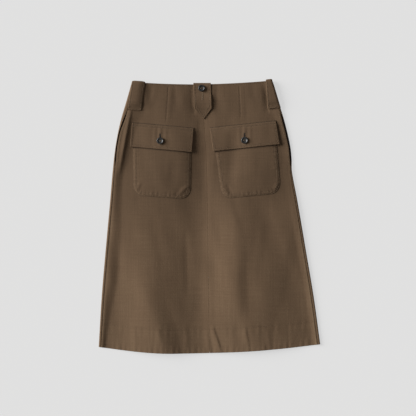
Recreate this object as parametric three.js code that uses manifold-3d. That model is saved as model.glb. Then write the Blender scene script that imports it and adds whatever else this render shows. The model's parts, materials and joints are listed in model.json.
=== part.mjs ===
// A cargo utility skirt in brown cotton twill, laid flat with its back up.
// Millimetres. +X runs across the skirt, +Y towards its waist and +Z up from the surface
// it lies on, which is z = 0. The origin is under the middle of the skirt.
//
// The front lies underneath and wraps round both side edges. The two back panels lie on it,
// joined down the middle, and everything sewn to the back follows the height of the back.

import * as THREE from "three";
import { mergeVertices } from "three/addons/utils/BufferGeometryUtils.js";
import Module from "manifold-3d";

// ---- driving dimensions ----
const CLOTH = 1.2; // one layer of twill
const SEAM = 0.3; // clearance where two pieces meet
const SIDE_SEAM = 0.6; // and where a rounded edge meets an upright one
const LYING = 3.0; // outer face of the back where it lies on the front
const FLAP_THICK = 1.8; // a flap is two layers, pressed
const STRAP_THICK = 1.8; // so are the belt loops and the tab
const FACING_THICK = 0.8; // pocket facing
const HEIGHT = 700; // from the waist edge to the hem, nearly
const BUTTON_RADIUS = 9;
const BUTTON_THICK = 3.4;

const FRONT_WAIST_DROP = 3; // the front is cut lower at the waist, and shorter at the hem
const MOUTH_TOP = 271; // the side pocket mouths run between these heights
const MOUTH_BOTTOM = 128;

// ---- small helpers ----
const clamp = (value, low, high) => Math.min(Math.max(value, low), high);
const mix = (a, b, share) => a + (b - a) * share;

function ease(low, high, value) {
  const t = clamp((value - low) / (high - low), 0, 1);
  return t * t * (3 - 2 * t);
}

// The value at a place of a smooth line through [place, value] stations in rising order.
function through(stations, place) {
  const last = stations.length - 1;
  const at = clamp(place, stations[0][0], stations[last][0]);
  let i = 0;
  while (i < last - 1 && at > stations[i + 1][0]) i++;
  const slope = (a, b) => (stations[b][1] - stations[a][1]) / (stations[b][0] - stations[a][0]);
  const span = stations[i + 1][0] - stations[i][0];
  const t = (at - stations[i][0]) / span;
  const out = span * slope(Math.max(i - 1, 0), i + 1);
  const into = span * slope(i, Math.min(i + 2, last));
  const a = stations[i][1];
  const b = stations[i + 1][1];
  return (
    a * (2 * t ** 3 - 3 * t ** 2 + 1) +
    out * (t ** 3 - 2 * t ** 2 + t) +
    b * (3 * t ** 2 - 2 * t ** 3) +
    into * (t ** 3 - t ** 2)
  );
}

// ---- outline ----
// The waist and the hem are shallow curves, as an A-line skirt's are when it lies flat.
const waistY = (x) => 343.5 + 2.3e-4 * (x + 45) ** 2;
const hemY = (x) => -356.6 + (x < -80 ? 3.9e-4 : 1.75e-4) * (x + 80) ** 2;

// Side edges, from the waist (0) to the hem (1).
const LEFT_EDGE = [
  [0, -202], [0.062, -214], [0.153, -232], [0.243, -244.2], [0.334, -251.5],
  [0.448, -258.4], [0.629, -269.9], [0.811, -280.5], [1, -288.3],
];
const RIGHT_EDGE = [
  [0, 160], [0.066, 176], [0.158, 195.5], [0.249, 210], [0.3, 213.8], [0.345, 214.6],
  [0.455, 228.6], [0.637, 250], [0.82, 271.2], [1, 288.3],
];
// The seam down the middle of the back, by height.
const CENTRE_SEAM = [
  [-357, 0.5], [-166, -2.6], [34, -5], [146, -8], [256, -15], [344, -18.5],
];

const leftEdge = (down) => through(LEFT_EDGE, down);
const rightEdge = (down) => through(RIGHT_EDGE, down);
const centreX = (y) => through(CENTRE_SEAM, y);
const rowY = (x, down) => mix(waistY(x), hemY(x), down);
const downAt = (x, y) => (waistY(x) - y) / (waistY(x) - hemY(x));

// ---- height of the back's outer face ----
// Each fold is a soft ridge: crest position, height and the widths of its two flanks, by height
// on the skirt.
const FOLDS = [
  {
    // left fold, from the pocket's side to the hem
    crest: [[-357, -121], [-309, -131], [-244, -144], [-190, -154], [-61, -168], [60, -182], [344, -165]],
    height: [[-357, 9], [-309, 10.5], [-217, 12], [-113, 9.5], [0, 6.5], [120, 4.5], [344, 2]],
    left: [[-357, 145], [-309, 125], [-217, 99], [-113, 85], [0, 105], [344, 110]],
    right: [[-357, 135], [-217, 125], [-113, 130], [0, 148], [344, 120]],
  },
  {
    // the sharper crest it has lower down
    crest: [[-357, -121], [-309, -132], [-244, -145], [-190, -153], [-100, -160]],
    height: [[-357, 6], [-309, 5.5], [-217, 2.6], [-100, 0]],
    left: [[-357, 110], [-309, 95], [-217, 50], [-100, 42]],
    right: [[-357, 62], [-309, 58], [-217, 42], [-100, 38]],
  },
  {
    // middle fold, right of the centre seam
    crest: [[-357, 100], [-309, 95], [-269, 86], [-217, 79], [-113, 76], [0, 66], [60, 62]],
    height: [[-357, 8], [-309, 9], [-265, 11], [-165, 12], [-61, 10.5], [0, 8], [90, 3], [130, 0]],
    left: [[-357, 150], [-309, 142], [-217, 110], [-61, 100], [0, 78], [60, 66]],
    right: [[-357, 185], [-217, 175], [-113, 130], [0, 95]],
  },
  {
    // and its sharper crest
    crest: [[-300, 80], [-217, 68], [-113, 66], [-30, 56]],
    height: [[-310, 0], [-217, 2.6], [-113, 2.8], [-30, 1.2], [20, 0]],
    left: [[-300, 60], [-30, 56]],
    right: [[-300, 34], [-30, 36]],
  },
  {
    // broad swell of the right half
    crest: [[-357, 150], [0, 150], [108, 132], [344, 112]],
    height: [[-357, 3], [-217, 3], [-113, 4.5], [0, 5.5], [108, 5.2], [173, 4.4], [240, 3.6], [344, 2]],
    left: [[-357, 150], [0, 140], [108, 120], [344, 115]],
    right: [[-357, 150], [0, 135], [344, 130]],
  },
  {
    // slanting fold of the right half
    crest: [[-309, 110], [-192, 149], [-88, 186], [20, 205]],
    height: [[-357, 0.8], [-200, 1.4], [-36, 1.4], [70, 0]],
    left: [[-357, 50], [70, 50]],
    right: [[-357, 55], [70, 55]],
  },
  {
    // swell under the left pocket
    crest: [[0, -95], [108, -92], [173, -84], [240, -88], [344, -100]],
    height: [[-60, 0], [0, 2.5], [43, 4.5], [108, 6.8], [173, 7], [238, 4.5], [344, 2.5]],
    left: [[0, 115], [344, 115]],
    right: [[0, 74], [108, 78], [173, 72], [240, 74], [344, 75]],
  },
  {
    // swell under the right pocket
    crest: [[68, 98], [108, 102], [173, 110], [344, 108]],
    height: [[30, 0], [108, 3.5], [173, 2.8], [240, 1.5], [344, 1]],
    left: [[68, 52], [173, 56], [344, 70]],
    right: [[68, 115], [344, 100]],
  },
  {
    // ridge between that pocket and the centre seam
    crest: [[-30, 20], [68, 15], [146, 14], [276, 26], [344, 34]],
    height: [[-40, 0], [40, 2.6], [173, 3.2], [240, 2.5], [344, 2.5]],
    left: [[-40, 34], [146, 30], [344, 50]],
    right: [[-40, 60], [146, 52], [344, 90]],
  },
];

const bell = (t) => (Math.abs(t) < 1 ? (1 - t * t) ** 2 : 0);

function foldHeight(fold, x, y) {
  const off = x - through(fold.crest, y);
  const reach = through(off < 0 ? fold.left : fold.right, y);
  return through(fold.height, y) * bell(off / reach);
}

// The side edges stay puffed up over the fold of the cloth and its seam allowances, and the back
// falls from them into a valley that runs this far inside each edge.
const LEFT_VALLEY = [
  [-357, 19], [-309, 22], [-244, 30], [-192, 38], [-120, 41], [-50, 39], [40, 33], [107, 31],
  [150, 40], [203, 46], [270, 56], [344, 62],
];
const LEFT_FLAT = [ // flat on top for this far inside the left edge
  [-357, 7.5], [-230, 8.5], [-165, 14], [-61, 14], [20, 9], [107, 7.5], [344, 7.5],
];
const RIGHT_VALLEY = [[-357, 20], [-100, 24], [107, 26], [300, 28], [344, 30]];
const LEFT_ROLL = [[-357, 3.2], [0, 3.4], [150, 5], [260, 5], [344, 4]];
const RIGHT_ROLL = [[-357, 2.2], [0, 1.5], [150, 1.3], [344, 2.6]];
const ROLL_FLAT = 7.5; // and for this far inside the right one

function backHeight(x, y) {
  const down = clamp(downAt(x, y), 0, 1);
  const fromLeft = x - leftEdge(down);
  const fromRight = rightEdge(down) - x;
  const leftStep = ease(through(LEFT_FLAT, y), through(LEFT_VALLEY, y), fromLeft);
  const left = through(LEFT_ROLL, y) * (1 - leftStep);
  const right = through(RIGHT_ROLL, y) * (1 - ease(ROLL_FLAT, through(RIGHT_VALLEY, y), fromRight));
  return LYING + left + right + FOLDS.reduce((sum, fold) => sum + foldHeight(fold, x, y), 0);
}

// ---- side seams and pocket mouths ----
// How far the seam between the front's wrapped edge and the back lies inside each edge.
const LEFT_SEAM_INSET = [
  [-357, 6], [0, 6], [130, 4.6], [185, 3.2], [222, 4.3], [237, 6.4], [256, 9], [271, 10], [350, 10],
];
const RIGHT_SEAM_INSET = [[-357, 7], [60, 5], [130, 3.1], [180, 3.0], [271, 4.0], [350, 6]];

// A side of the skirt: -1 is the left one, 1 the right.
const SIDES = {
  left: { sign: -1, edge: leftEdge, inset: LEFT_SEAM_INSET, gape: 1.5, lip: 0 },
  right: { sign: 1, edge: rightEdge, inset: RIGHT_SEAM_INSET, gape: 1.7, lip: 1 },
};

// 0 outside the pocket mouth and 1 in its middle.
function mouthShare(y) {
  const t = clamp((y - MOUTH_BOTTOM) / (MOUTH_TOP - MOUTH_BOTTOM), 0, 1);
  return Math.min(1, 2.6 * Math.sin(Math.PI * t));
}

function sideSeam(side, down) {
  const y = rowY(side.edge(down), down);
  const inset = through(side.inset, y);
  const gape = side.gape * Math.max(0, mouthShare(y));
  return {
    y,
    near: inset + gape + SIDE_SEAM / 2, // where the back starts, inside the edge
    far: Math.max(0.4, inset - gape - SIDE_SEAM / 2), // where the front's wrap ends
    open: Math.max(0, mouthShare(y)),
  };
}

// ---- cloth walls ----
// The unit normals of a grid of points in rows, along (across a row) x (on to the next row).
function gridNormals(rows) {
  const point = (i, j) => rows[clamp(i, 0, rows.length - 1)][clamp(j, 0, rows[0].length - 1)];
  return rows.map((row, i) =>
    row.map((_, j) => {
      const alongRow = point(i, j + 1).clone().sub(point(i, j - 1));
      const alongColumn = point(i + 1, j).clone().sub(point(i - 1, j));
      return alongRow.cross(alongColumn).normalize();
    }),
  );
}

const movedOut = (rows, distance) => {
  const normals = gridNormals(rows);
  return rows.map((row, i) => row.map((p, j) => p.clone().addScaledVector(normals[i][j], distance)));
};

// A lying cloth is as thick everywhere, but its cut edges stand upright.
const movedDown = (rows, distance) => {
  const normals = gridNormals(rows);
  return rows.map((row, i) =>
    row.map((p, j) => new THREE.Vector3(p.x, p.y, p.z - distance / normals[i][j].z)),
  );
};

// A closed wall between two grids of points, its outer face and its inner one.
function wallBetween(outerRows, innerRows) {
  const rows = outerRows;
  const across = rows[0].length;
  const outer = outerRows.flat();
  const inner = innerRows.flat();
  const count = outer.length;
  const index = [];
  const quad = (a, b, c, d) => index.push(a, b, c, a, c, d);
  for (let i = 0; i < rows.length - 1; i++) {
    for (let j = 0; j < across - 1; j++) {
      const a = i * across + j;
      const c = a + across;
      quad(a, a + 1, c + 1, c);
      quad(count + a + 1, count + a, count + c, count + c + 1);
    }
    const first = i * across;
    const last = first + across - 1;
    quad(first, first + across, count + first + across, count + first);
    quad(last + across, last, count + last, count + last + across);
  }
  const bottom = (rows.length - 1) * across;
  for (let j = 0; j < across - 1; j++) {
    quad(j + 1, j, count + j, count + j + 1);
    quad(bottom + j, bottom + j + 1, count + bottom + j + 1, count + bottom + j);
  }
  const positions = new Float32Array([...outer, ...inner].flatMap((p) => p.toArray()));
  return new THREE.BufferGeometry()
    .setAttribute("position", new THREE.BufferAttribute(positions, 3))
    .setIndex(index);
}

const wall = (rows, thickness) => wallBetween(rows, movedOut(rows, -thickness));
const lyingWall = (rows, thickness) => wallBetween(rows, movedDown(rows, thickness));

const steps = (count) => Array.from({ length: count + 1 }, (_, i) => i / count);

// Steps from 0 to 1 that are closer together towards both ends.
const crowded = (count, share) =>
  steps(count).map((t) => mix(t, 0.5 - 0.5 * Math.cos(Math.PI * t), share));

// ---- materials ----
const TWILL = new THREE.MeshStandardMaterial({ color: 0x63513f, roughness: 0.92, metalness: 0 });
const POCKETING = new THREE.MeshStandardMaterial({ color: 0x1c1512, roughness: 0.95, metalness: 0 });
const HORN = new THREE.MeshStandardMaterial({ color: 0x2a2623, roughness: 0.28, metalness: 0 });

const skirt = new THREE.Group();

function add(name, geometry, material) {
  const mesh = new THREE.Mesh(geometry, material);
  mesh.name = name;
  skirt.add(mesh);
  return mesh;
}

// ---- back panels ----
const BACK_ROWS = 26;
const BACK_COLUMNS = 17;

// On +Z faces a row runs from left to right and the rows run from the hem up.
function backPanel(side) {
  const rows = steps(BACK_ROWS).map((t) => {
    const down = 1 - t;
    const seam = sideSeam(side, down);
    const outside = side.edge(down) - side.sign * seam.near;
    const middle = centreX(rowY(-10, down)) + (side.sign * SEAM) / 2;
    const [from, to] = side.sign < 0 ? [outside, middle] : [middle, outside];
    return crowded(BACK_COLUMNS, 0.45).map((u) => {
      const x = mix(from, to, u);
      const y = rowY(x, down);
      return new THREE.Vector3(x, y, backHeight(x, y));
    });
  });
  return lyingWall(rows, CLOTH);
}

// ---- front panel ----
const FRONT_ROWS = 26;
const FLAT_STEPS = 7;
const WRAP_STEPS = 6;

// The front's outer face at one side edge, as [distance inside the edge, height] points from the
// end of the wrap round to the flat underside. The fold is half a circle.
function wrapProfile(side, down) {
  const seam = sideSeam(side, down);
  const x = side.edge(down) - side.sign * seam.near;
  const radius = backHeight(x, rowY(x, down)) / 2;
  const lowered = side.lip * seam.open; // the right lip stays low under its facing
  const end = seam.far;
  const fullTurn = end >= radius ? Math.PI : Math.PI - Math.asin((radius - end) / radius);
  const turn = mix(fullTurn, 0.46 * Math.PI, lowered);
  const straight = Math.max(0, end - radius) * (1 - lowered);
  const length = radius * turn + straight;
  return steps(WRAP_STEPS).map((t) => {
    const s = (1 - t) * length;
    if (s > radius * turn) return [radius + s - radius * turn, 2 * radius];
    const angle = s / radius;
    return [radius - radius * Math.sin(angle), radius - radius * Math.cos(angle)];
  });
}

// Its outer face looks down, so a row runs from left to right and the rows run from the waist down.
function frontPanel() {
  const rows = steps(FRONT_ROWS).map((down) => {
    const [left, right] = [SIDES.left, SIDES.right].map((side) => {
      const points = wrapProfile(side, down).map(([inside, z]) => [
        side.edge(down) - side.sign * inside, z,
      ]);
      return side.sign < 0 ? points : points.reverse();
    });
    const flatFrom = left[WRAP_STEPS][0];
    const flatTo = right[0][0];
    const flat = steps(FLAT_STEPS).slice(1, -1).map((t) => [mix(flatFrom, flatTo, t), 0]);
    return [...left, ...flat, ...right].map(([x, z]) => {
      const inside = Math.min(x - leftEdge(down), rightEdge(down) - x);
      const drop = FRONT_WAIST_DROP * (1 - 2 * down) * ease(6, 60, inside);
      return new THREE.Vector3(x, rowY(x, down) - drop, z);
    });
  });
  return wall(rows, CLOTH);
}

add("front_panel", frontPanel(), TWILL);
add("back_left_panel", backPanel(SIDES.left), TWILL);
add("back_right_panel", backPanel(SIDES.right), TWILL);

// ---- side pocket facings ----
// A strip of dark pocketing that shows in each mouth. The left one lies inside the front's
// wrapped edge and the right one rolls over the top of it.
const FACING_ROWS = 12;
const FACING_ENDS = 25; // it stops this far short of the mouth's ends
const UNDER_BACK = CLOTH + 0.6;

// Its outer face across a row, as [distance inside the edge, height above the surface].
// The first two points, under the back, are the same on both sides.
const FACING_ENDS_AT = {
  left: (lip) => [[4.6, lip - 3.2], [2.9, lip - 4.6]],
  right: (lip) => [[4, lip - 1.8], [1.1, lip - 1.7]],
};

function pocketFacing(name) {
  const side = SIDES[name];
  const rows = steps(FACING_ROWS).map((t) => {
    const wanted = mix(MOUTH_BOTTOM + FACING_ENDS, MOUTH_TOP - FACING_ENDS, t);
    const down = downAt(side.edge(0.2), wanted);
    const { near } = sideSeam(side, down);
    const xAt = (inside) => side.edge(down) - side.sign * inside;
    const heightAt = (inside) => backHeight(xAt(inside), rowY(xAt(inside), down));
    const under = (inside) => heightAt(inside) - UNDER_BACK;
    const path = [[15, under(15)], [near + 1, under(near + 1)]];
    const points = [...path, ...FACING_ENDS_AT[name](heightAt(near))].map(
      ([inside, z]) => new THREE.Vector3(xAt(inside), rowY(xAt(inside), down), z),
    );
    return side.sign < 0 ? points.reverse() : points;
  });
  return wall(rows, FACING_THICK);
}

add("side_pocket_facing_left", pocketFacing("left"), POCKETING);
add("side_pocket_facing_right", pocketFacing("right"), POCKETING);

// ---- patch pockets and flaps ----
// Corners on the skirt, as seen from above: top left, top right, bottom right, bottom left.
const POCKETS = {
  left: {
    pocket: [[-200, 230], [-46, 216], [-49, 43], [-198, 55]],
    corner: [24, 30], // radii of the bottom corners, left and right
    flap: [[-200.7, 244.5], [-40.8, 230.2], [-45.8, 166.5], [-206.7, 181.2]],
    lift: [0.6, 2.0], // how far the flap's bottom corners stand up, left and right
    button: [-127.9, 195.8],
  },
  right: {
    pocket: [[9, 217], [172, 234], [186, 60], [32, 45]],
    corner: [26, 30],
    flap: [[0.3, 231.2], [172.1, 249.4], [182.5, 187.3], [9.6, 168.8]],
    lift: [1.2, 1.6],
    button: [91, 197.3],
  },
};
const POCKET_GAP = 0.55; // under a pocket's sewn edges
const POCKET_CROWN = 1.1; // and this much more in its middle

function inQuad(corners, u, v) {
  const [topLeft, topRight, bottomRight, bottomLeft] = corners;
  return [0, 1].map((k) =>
    mix(mix(topLeft[k], topRight[k], u), mix(bottomLeft[k], bottomRight[k], u), v),
  );
}

const crownAt = (u, v) => POCKET_CROWN * Math.sqrt(Math.max(0, 16 * u * (1 - u) * v * (1 - v)));
const overPocket = (x, y, crown) => backHeight(x, y) + POCKET_GAP + CLOTH + crown;

function patchPocket({ pocket, corner }) {
  const width = pocket[1][0] - pocket[0][0];
  const height = pocket[0][1] - pocket[3][1];
  const downRows = [0, 0.14, 0.3, 0.46, 0.62, 0.74, 0.84, 0.885, 0.925, 0.955, 0.98, 1];
  const rows = downRows.reverse().map((v) => {
    const fromBottom = (1 - v) * height;
    const pull = corner.map((radius) => {
      const e = Math.max(0, radius - fromBottom);
      return (radius - Math.sqrt(radius ** 2 - e ** 2)) / width;
    });
    return steps(11).map((t) => {
      const u = mix(pull[0], 1 - pull[1], t);
      const [x, y] = inQuad(pocket, u, v);
      return new THREE.Vector3(x, y, overPocket(x, y, crownAt(u, v)));
    });
  });
  return lyingWall(rows, CLOTH);
}

// A flap is sewn down along its top edge and lies over the pocket below it.
function flapPoint({ flap, lift }, u, v) {
  const [x, y] = inQuad(flap, u, v);
  const overlap = ease(0, 0.2, v);
  const sewn = backHeight(x, y) + SEAM + 0.45;
  const lying = overPocket(x, y, 1.1) + SEAM;
  const corner = lift[0] * (1 - u) ** 3 + lift[1] * u ** 3;
  return new THREE.Vector3(x, y, mix(sewn, lying, overlap) + FLAP_THICK + corner * v * v);
}

function flap(pocket) {
  const rows = steps(6).reverse().map((v) => steps(13).map((u) => flapPoint(pocket, u, v)));
  return lyingWall(rows, FLAP_THICK);
}

// ---- straps: the belt loops and the middle tab ----
// A strap's path up and down the skirt, as [distance below the waist edge, height of its middle
// line above the back], from behind the waist edge over it and down to its sewn end.
const LOOP_STANDS = 7;
const LOOP_PATH = [
  [-1.6, -0.4], [-2.9, 2.2], [-1.8, 4.8], [4, 6.2], [14, LOOP_STANDS], [36, LOOP_STANDS], [54, 5.4],
  [65, 2.5], [73, 1.6],
];
const TAB_PATH = [
  [-1.3, -0.2], [-2.5, 1.4], [-1, 2.5], [6, 3.0], [22, 3.3], [31, 6.2], [42, 8.4], [55, 8.1], [70, 4.8],
  [80, 2.3], [90, 1.6],
];

const strapLine = (path, count) =>
  new THREE.SplineCurve(path.map(([down, z]) => new THREE.Vector2(down, z))).getPoints(count);

// A strap from its path. placeAt gives the point of its middle layer for a distance below the waist
// edge, a height over the back and a place across the strap, from -1 to 1.
function strap(path, count, columns, placeAt) {
  const middle = strapLine(path, count).map(({ x: below, y: above }) =>
    columns.map((t) => placeAt(below, above, t)),
  );
  const rows = middle.reverse();
  return wallBetween(movedOut(rows, STRAP_THICK / 2), movedOut(rows, -STRAP_THICK / 2));
}

// The left loop lies wholly on the back, leaning out with the side edge.
const LOOP_LEFT = { middle: -184.2, half: 17, slant: -0.145, bowOut: 0.8, bowIn: 1.2 };

function leftLoop() {
  const columns = steps(5).map((t) => 2 * t - 1);
  return strap(LOOP_PATH, 16, columns, (below, above, t) => {
    const slant = LOOP_LEFT.slant * Math.max(below, 0);
    const x = LOOP_LEFT.middle + slant + t * LOOP_LEFT.half;
    const y = waistY(x) - below;
    const ground = backHeight(x, Math.min(y, waistY(x)));
    const edge = leftEdge(Math.max(below, 0) / HEIGHT);
    const highest = backHeight(edge + ROLL_FLAT, Math.min(y, waistY(x)));
    const sewn = ease(44, 68, below);
    const bow = t < 0 ? LOOP_LEFT.bowOut : LOOP_LEFT.bowIn;
    const base = mix(highest - bow * t * t, ground, sewn);
    return new THREE.Vector3(x, y, base + above);
  });
}

// The right loop sits on the side edge and bends round it.
const LOOP_RIGHT = { inner: 146.5, slant: 0.06, proud: 1.2, bend: 6, turn: 1.05 };

function rightLoop() {
  const columns = steps(8);
  return strap(LOOP_PATH, 16, columns, (below, above, t) => {
    const down = Math.max(below, 0) / HEIGHT;
    const inner = LOOP_RIGHT.inner + LOOP_RIGHT.slant * Math.max(below, 0);
    const bendFrom = rightEdge(down) + LOOP_RIGHT.proud - LOOP_RIGHT.bend;
    const length = bendFrom - inner + LOOP_RIGHT.bend * LOOP_RIGHT.turn;
    const s = t * length;
    const angle = Math.max(0, s - (bendFrom - inner)) / LOOP_RIGHT.bend;
    const x = angle > 0 ? bendFrom + LOOP_RIGHT.bend * Math.sin(angle) : inner + s;
    const y = waistY(x) - below;
    const base = backHeight(rightEdge(down) - 9, Math.min(y, waistY(x)));
    const sewnShare = (base + above) / (base + LOOP_STANDS);
    const drop = LOOP_RIGHT.bend * (1 - Math.cos(angle)) * sewnShare;
    return new THREE.Vector3(x, y, base + above - drop);
  });
}

// The tab is straight-sided and ends in a point.
const TAB = { middle: -19.3, half: 22.8, straight: 63, length: 90, tip: 1.2 };

function tab() {
  const columns = steps(6).map((t) => 2 * t - 1);
  return strap(TAB_PATH, 20, columns, (below, above, t) => {
    const taper = clamp((below - TAB.straight) / (TAB.length - TAB.straight), 0, 1);
    const half = mix(TAB.half, TAB.tip, taper);
    const middle = TAB.middle + 0.035 * Math.max(below, 0);
    const x = middle + t * half;
    const y = waistY(middle) - below;
    const ground = backHeight(x, Math.min(y, waistY(x)));
    const bridged = backHeight(middle, Math.min(y, waistY(x)));
    const carried = mix(bridged, ground, ease(60, 88, below));
    return new THREE.Vector3(x, y, Math.max(carried, ground) + above);
  });
}

// ---- buttons ----
const wasm = await Module();
wasm.setup();

function solidOf(geometry) {
  const bare = geometry.clone();
  bare.deleteAttribute("normal");
  bare.deleteAttribute("uv");
  const merged = mergeVertices(bare, 1e-4);
  return new wasm.Manifold(
    new wasm.Mesh({
      numProp: 3,
      vertProperties: new Float32Array(merged.attributes.position.array),
      triVerts: new Uint32Array(merged.index.array),
    }),
  );
}

function geometryOf(solid) {
  const mesh = solid.getMesh();
  return new THREE.BufferGeometry()
    .setAttribute("position", new THREE.BufferAttribute(mesh.vertProperties, 3))
    .setIndex(new THREE.BufferAttribute(mesh.triVerts, 1));
}

// A four-hole sew-through button with a raised rim, standing on z = 0.
function buttonGeometry() {
  const r = BUTTON_RADIUS;
  const profile = [
    [0, 0], [r - 1.6, 0], [r - 0.3, 0.9], [r, 1.9], [r - 0.5, 2.9], [r - 1.5, BUTTON_THICK],
    [r - 2.6, 3.0], [r - 3.6, 2.3], [0, 2.2],
  ].map(([x, y]) => new THREE.Vector2(x, y));
  const body = new THREE.LatheGeometry(profile, 28).rotateX(Math.PI / 2);
  let solid = solidOf(body);
  for (const [sx, sy] of [[1, 1], [-1, 1], [-1, -1], [1, -1]]) {
    const hole = new THREE.CylinderGeometry(0.95, 0.95, 12, 8).rotateX(Math.PI / 2);
    hole.translate(sx * 1.75, sy * 1.75, 0);
    solid = solid.subtract(solidOf(hole));
  }
  return geometryOf(solid);
}

const BUTTON = buttonGeometry();

// Buttons rest just above the cloth, tilted with it.
function placeButton(name, x, y, heightAt) {
  const reach = 5;
  const slopeX = (heightAt(x + reach, y) - heightAt(x - reach, y)) / (2 * reach);
  const slopeY = (heightAt(x, y + reach) - heightAt(x, y - reach)) / (2 * reach);
  const up = new THREE.Vector3(-slopeX, -slopeY, 1).normalize();
  const button = add(name, BUTTON, HORN);
  button.quaternion.setFromUnitVectors(new THREE.Vector3(0, 0, 1), up);
  button.position.set(x, y, heightAt(x, y)).addScaledVector(up, SEAM + 0.5);
}

for (const [name, pocket] of Object.entries(POCKETS)) {
  add("patch_pocket_" + name, patchPocket(pocket), TWILL);
  add("pocket_flap_" + name, flap(pocket), TWILL);
  const [x, y] = pocket.button;
  const heightAt = (px, py) => {
    const middleV = 0.62;
    const middle = inQuad(pocket.flap, 0.5, middleV);
    const z = flapPoint(pocket, 0.5, middleV).z;
    return z + backHeight(px, py) - backHeight(middle[0], middle[1]);
  };
  placeButton("flap_button_" + name, x, y, heightAt);
}

add("belt_loop_left", leftLoop(), TWILL);
add("belt_loop_right", rightLoop(), TWILL);
add("middle_tab", tab(), TWILL);
const TAB_BUTTON = [-20.5, 333];
const overTab = (x, y) => backHeight(TAB.middle, y) + 3.5 + STRAP_THICK / 2;
placeButton("tab_button", TAB_BUTTON[0], TAB_BUTTON[1], overTab);

export default skirt;
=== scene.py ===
# %% [markdown]
# # A brown twill utility skirt, laid flat
#
# The skirt lies on its front, with the buttoned back up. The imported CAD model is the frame: it
# fixes the sizes and the places, and this script makes the cloth that is seen. Every piece is a
# thin closed shell, as cut and sewn cloth is, and each is worked out from the same height of
# the lying skirt, so that what is sewn on follows what it is sewn to.

# %% Frame, units and small helpers
import json
import math

import bpy
import numpy as np
from mathutils.bvhtree import BVHTree
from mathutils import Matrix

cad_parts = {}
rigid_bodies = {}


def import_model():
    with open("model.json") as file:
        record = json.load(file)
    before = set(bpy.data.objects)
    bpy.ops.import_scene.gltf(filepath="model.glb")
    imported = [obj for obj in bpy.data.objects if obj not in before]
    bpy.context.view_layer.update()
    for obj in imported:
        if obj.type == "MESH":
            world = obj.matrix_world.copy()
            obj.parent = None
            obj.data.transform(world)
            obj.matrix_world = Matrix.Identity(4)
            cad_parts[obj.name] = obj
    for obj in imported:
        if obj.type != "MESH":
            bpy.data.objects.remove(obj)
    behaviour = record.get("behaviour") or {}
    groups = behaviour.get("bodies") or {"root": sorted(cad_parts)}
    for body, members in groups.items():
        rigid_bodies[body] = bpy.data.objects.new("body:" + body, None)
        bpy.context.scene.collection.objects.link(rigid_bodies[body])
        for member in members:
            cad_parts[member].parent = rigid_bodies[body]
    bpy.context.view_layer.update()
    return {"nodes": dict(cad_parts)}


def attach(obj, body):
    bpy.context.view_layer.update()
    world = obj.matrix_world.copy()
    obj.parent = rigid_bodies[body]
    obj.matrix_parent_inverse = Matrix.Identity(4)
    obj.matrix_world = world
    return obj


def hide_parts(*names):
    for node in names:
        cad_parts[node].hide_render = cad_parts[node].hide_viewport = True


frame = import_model()
MM = 0.001  # every size below is in millimetres until a mesh is made
BODY = "root"

print("frame nodes:", len(frame["nodes"]))


def mix(a, b, share):
    """The value that share of the way from a to b."""
    return a + (b - a) * share


def ease(low, high, value):
    """0 below low, 1 above high, and a soft step between them."""
    t = np.clip((value - low) / (high - low), 0, 1)
    return t * t * (3 - 2 * t)


def hump(distance, width):
    """1 at no distance, fading softly to nothing at about twice the width."""
    return np.exp(-((distance / width) ** 2))


def through(stations, place):
    """The value at a place of a smooth line through (place, value) stations in rising order."""
    at_station, values = np.array(stations, dtype=float).T
    place = np.clip(place, at_station[0], at_station[-1])
    i = np.clip(np.searchsorted(at_station, place) - 1, 0, len(at_station) - 2)
    before = np.maximum(i - 1, 0)
    after = np.minimum(i + 2, len(at_station) - 1)
    span = at_station[i + 1] - at_station[i]
    out = span * (values[i + 1] - values[before]) / (at_station[i + 1] - at_station[before])
    into = span * (values[after] - values[i]) / (at_station[after] - at_station[i])
    t = (place - at_station[i]) / span
    return (
        values[i] * (2 * t**3 - 3 * t**2 + 1)
        + out * (t**3 - 2 * t**2 + t)
        + values[i + 1] * (3 * t**2 - 2 * t**3)
        + into * (t**3 - t**2)
    )


# %% [markdown]
# ## The outline
#
# An A-line skirt laid flat has a waist that dips a little in the middle and a hem that bows
# down. The sides are smooth lines through a few places, from the waist (0) to the hem (1). The
# same numbers drew the CAD panels, so the cloth here ends where the frame's does.

# %% Outline of the lying skirt
WAIST = {"lowest": 343.5, "at": -45, "bend": 2.3e-4}
HEM = {"lowest": -356.6, "at": -80, "bend_left": 3.9e-4, "bend_right": 1.75e-4}
LEFT_EDGE = [
    (0, -202), (0.062, -214), (0.153, -232), (0.243, -244.2), (0.334, -251.5),
    (0.448, -258.4), (0.629, -269.9), (0.811, -280.5), (1, -288.3),
]
RIGHT_EDGE = [
    (0, 160), (0.066, 176), (0.158, 195.5), (0.249, 210), (0.3, 213.8), (0.345, 214.6),
    (0.455, 228.6), (0.637, 250), (0.82, 271.2), (1, 288.3),
]
CENTRE_SEAM = [(-357, 0.5), (-166, -2.6), (34, -5), (146, -8), (256, -15), (344, -18.5)]


def waist_y(x):
    return WAIST["lowest"] + WAIST["bend"] * (x - WAIST["at"]) ** 2


def hem_y(x):
    bend = np.where(x < HEM["at"], HEM["bend_left"], HEM["bend_right"])
    return HEM["lowest"] + bend * (x - HEM["at"]) ** 2


def left_edge(down):
    return through(LEFT_EDGE, down)


def right_edge(down):
    return through(RIGHT_EDGE, down)


def centre_x(y):
    return through(CENTRE_SEAM, y)


def row_y(x, down):
    return mix(waist_y(x), hem_y(x), down)


def down_at(x, y):
    return (waist_y(x) - y) / (waist_y(x) - hem_y(x))


print("waist, flat:", round(float(right_edge(0) - left_edge(0))), "mm")
print("hem, flat:", round(float(right_edge(1) - left_edge(1))), "mm")

# %% [markdown]
# ## The folds
#
# Cloth that is laid down and smoothed keeps long soft folds where it was fuller than the
# surface under it. Each fold is a ridge: a crest line, a height and the width of its two
# flanks, all by height on the skirt. Between the ridges the back lies on the front.

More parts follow.
